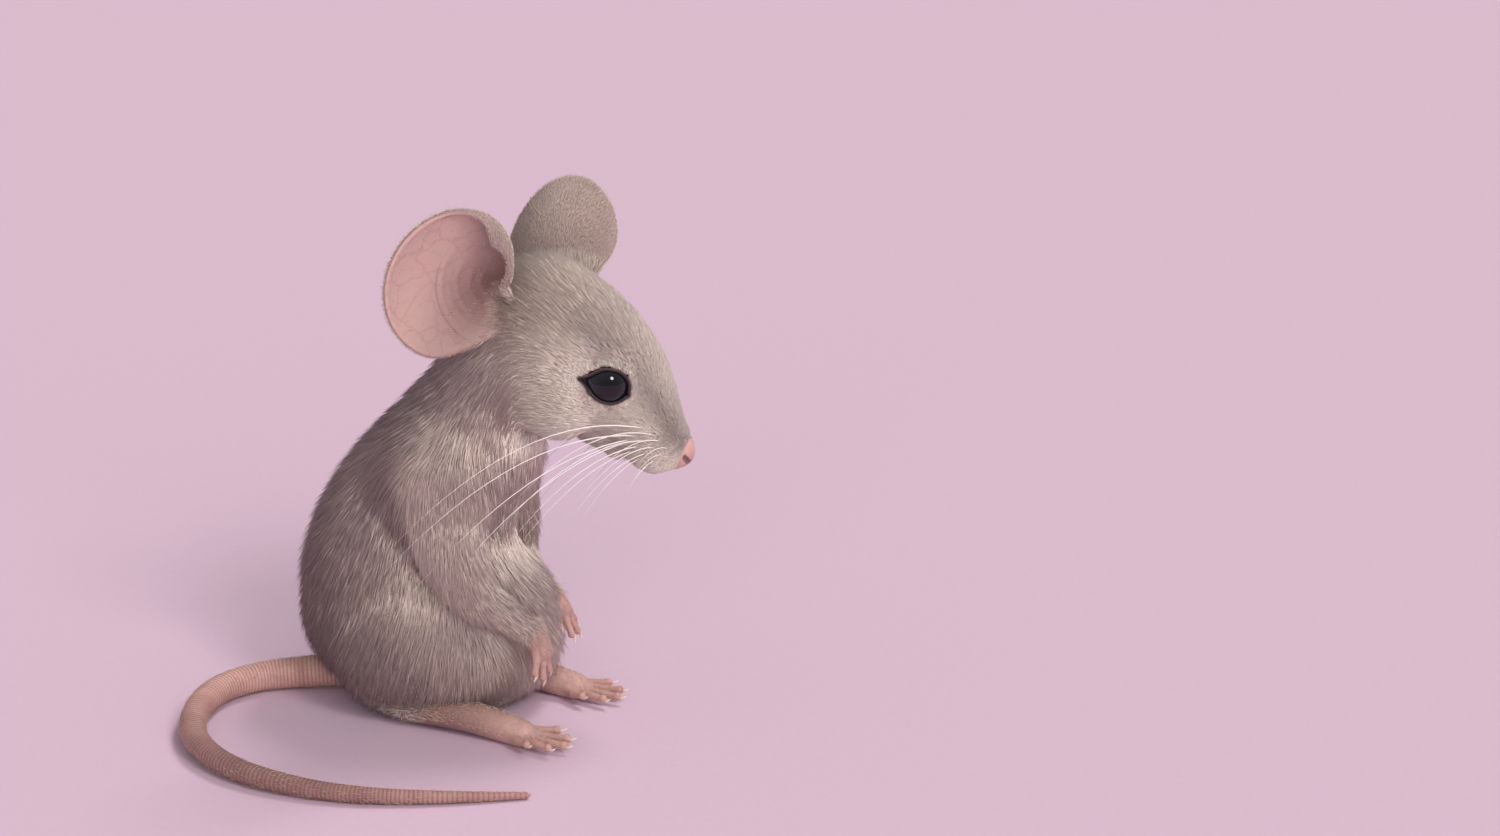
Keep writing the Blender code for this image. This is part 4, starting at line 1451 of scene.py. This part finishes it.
def make_claws(name, plans, finish_of_claw):
    """Horn claws that curve down from the tips of the digits."""
    points, faces, along = [], [], []
    rows, sides = 6, 8
    for stations, plan in plans:
        for _, _, pad, claw, lift, across in digits(stations, *plan):
            upward = np.cross(unit(claw - pad), across)
            first = len(points)
            for row in range(rows):
                share = row / (rows - 1)
                bow = lift * 0.30 * (math.sin(math.pi * (0.25 + 0.75 * share)) - 0.3)
                middle = pad + (claw - pad) * (0.05 + 0.95 * share) + bow
                middle[2] = max(middle[2], FLOOR_GAP + 0.12)
                girth = 0.30 * (1 - share) ** 0.7 + 0.02
                for side in range(sides):
                    turn = math.tau * side / sides
                    way = 0.75 * math.cos(turn) * across + math.sin(turn) * upward
                    points.append(middle + girth * way)
                    along.append(share)
            last = first + (rows - 1) * sides
            for start in range(first, last, sides):
                faces += strip(start, start + sides, sides)
            faces.append(list(range(first, first + sides)))
            faces.append(list(range(last, last + sides))[::-1])
    made = place_mesh(name, points, faces, finish_of_claw)
    store(made.data, "along", np.array(along))
    mesh = bmesh.new()
    mesh.from_mesh(made.data)
    bmesh.ops.recalc_face_normals(mesh, faces=mesh.faces)
    mesh.to_mesh(made.data)
    mesh.free()
    return made


WHISKER_ROWS = 4
WHISKER_COLUMNS = 4
WHISKER_RADIUS = 0.105


def whisker_plan(side, chance):
    """Root, way, length and sag of each whisker of one pad, the longest at the back."""
    starts, plans = [], []
    for row in range(WHISKER_ROWS):
        for column in range(WHISKER_COLUMNS):
            starts.append((30.0 - 1.35 * column - 0.15 * row, side * 3.6,
                           0.8 - 1.15 * row + 0.1 * column))
            back = column / (WHISKER_COLUMNS - 1)
            low = row / (WHISKER_ROWS - 1)
            length = (5 + 29 * back**1.3) * (1 - 0.3 * low) * chance.uniform(0.86, 1.06)
            way = np.array((-0.45 - 0.55 * back, side * (0.9 - 0.25 * back), 0.42 - 0.65 * low))
            plans.append((way + chance.normal(0, 0.04, 3), length, 0.72 - 0.1 * low))
    roots = settle_on(body_skin, np.array([on_head(place) for place in starts]), 10, 0.5)
    return [(root, unit(way), length, sag) for root, (way, length, sag) in zip(roots, plans)]


def whisker_tree():
    """A tapering closed tube along each curve."""
    inputs = (("Geometry", "NodeSocketGeometry"), ("Radius", "NodeSocketFloat"),
              ("Sides", "NodeSocketInt"), ("Finish", "NodeSocketMaterial"))
    tree = new_tree("whiskers", "GeometryNodeTree", inputs, inputs[0])
    given = node(tree, "NodeGroupInput").outputs
    ring = node(tree, "GeometryNodeCurvePrimitiveCircle", {
        "Resolution": given["Sides"], "Radius": given["Radius"]})
    tube = node(tree, "GeometryNodeCurveToMesh", {
        "Curve": given["Geometry"], "Profile Curve": ring.outputs["Curve"],
        "Scale": node(tree, "GeometryNodeInputRadius").outputs[0], "Fill Caps": True})
    real = node(tree, "GeometryNodeRealizeInstances", {0: tube.outputs[0]})
    end_tree(tree, real, given["Finish"])
    return tree


def make_whiskers(finish_of_whisker):
    chance = np.random.default_rng(5)
    last = 15  # number of the last point of each line
    curves = bpy.data.curves.new("whisker_lines", "CURVE")
    curves.dimensions = "3D"
    for side in SIDES.values():
        for root, way, length, sag in whisker_plan(side, chance):
            spline = curves.splines.new("POLY")
            spline.points.add(last)
            for number, point in enumerate(spline.points):
                t = number / last
                place = root + way * length * (t - 0.02) + np.array((-0.10, 0, -sag)) * length * t**2
                point.co = (*(place * MM), 1.0)
                point.radius = (1 - t) ** 1.1 * min(1.0, 0.5 + length / 50) + 0.04
    lines = add_object("whisker_lines", curves)
    made = grown("whiskers", lines, whisker_tree(), {
        "Radius": WHISKER_RADIUS * MM, "Sides": 6, "Finish": finish_of_whisker})
    bpy.data.objects.remove(lines)
    made.data.shade_smooth()
    return made


# ---------------------------------------------------------------- studio and camera

FLOOR_RADIUS = 4.0  # metres
# Strength, width in degrees, tint and the way to each light
LIGHTS = {
    "key": (1.2, 16, (1.0, 0.97, 0.94), (0.63, -0.47, 0.61)),
    "fill": (1.95, 60, (1.0, 0.97, 0.95), (0.42, -0.85, 0.22)),
    "top": (1.4, 18, (1.0, 0.98, 0.96), (0.25, 0.42, 0.87)),
}
SKY = (1.0, 0.965, 0.97, 1)
SKY_STRENGTH = 0.35
CAMERA_TARGET = (38.49, 23.31, 34.90)
CAMERA_AWAY = 420.0
CAMERA_TURN, CAMERA_RISE = 18.0, 15.0  # degrees, round from the animal's right side and up
LENS = 75.6


def make_studio():
    mesh = bmesh.new()
    bmesh.ops.create_circle(mesh, cap_ends=True, radius=FLOOR_RADIUS, segments=96)
    data = bpy.data.meshes.new("studio_floor")
    mesh.to_mesh(data)
    mesh.free()
    ground, tree, shader = finish("studio_floor", 0.9, Specular_IOR_Level=0.1)
    colour = speckled(tree, 900.0, 2.0, 0.3, 0.7, (208, 181, 199), (206, 179, 197))
    tree.links.new(colour, shader.inputs["Base Color"])
    data.materials.append(ground)
    add_object("studio_floor", data)

    for name, (strength, width, tint, way) in LIGHTS.items():
        light = bpy.data.lights.new(name, "SUN")
        light.energy, light.angle, light.color = strength, math.radians(width), tint
        lamp = add_object(name, light)
        lamp.rotation_euler = Vector(way).to_track_quat("Z", "Y").to_euler()
        lamp.visible_glossy = name == "key"

    world = bpy.data.worlds.new("studio")
    world.use_nodes = True
    sky = world.node_tree.nodes["Background"].inputs
    sky["Color"].default_value = SKY
    sky["Strength"].default_value = SKY_STRENGTH
    bpy.context.scene.world = world
    bpy.context.scene.view_settings.view_transform = "Standard"


def make_camera():
    turn, rise = math.radians(CAMERA_TURN), math.radians(CAMERA_RISE)
    back = Vector((math.sin(turn) * math.cos(rise), -math.cos(turn) * math.cos(rise), math.sin(rise)))
    data = bpy.data.cameras.new("camera")
    data.sensor_width, data.lens = 36.0, LENS
    data.clip_start, data.clip_end = 0.01, 50.0
    camera = add_object("camera", data)
    camera.location = (Vector(CAMERA_TARGET) + back * CAMERA_AWAY) * MM
    camera.rotation_euler = (-back).to_track_quat("-Z", "Y").to_euler()
    bpy.context.scene.camera = camera


# ---------------------------------------------------------------- the mouse

def main():
    markings_and_shade = fur_colours()
    skin = make_skin(skin_finish(markings_and_shade))
    coat = make_coat(skin, coat_finish(markings_and_shade))
    eyes = {"eye_" + side: make_eye("eye_" + side, sign, eye_finish()) for side, sign in SIDES.items()}
    claws = {
        "claws_fore": make_claws("claws_fore", [(PALM[side], FINGERS) for side in SIDES], claw_finish()),
        "claws_hind": make_claws("claws_hind", [(INSTEP[side], TOES) for side in SIDES], claw_finish()),
    }
    whiskers = make_whiskers(whisker_finish())

    for piece in [skin, *coat, *eyes.values(), *claws.values(), whiskers]:
        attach(piece, "root")
    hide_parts(*[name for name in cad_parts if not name.startswith("eye")])
    for name, eye in eyes.items():
        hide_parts(name)

    make_studio()
    make_camera()


main()
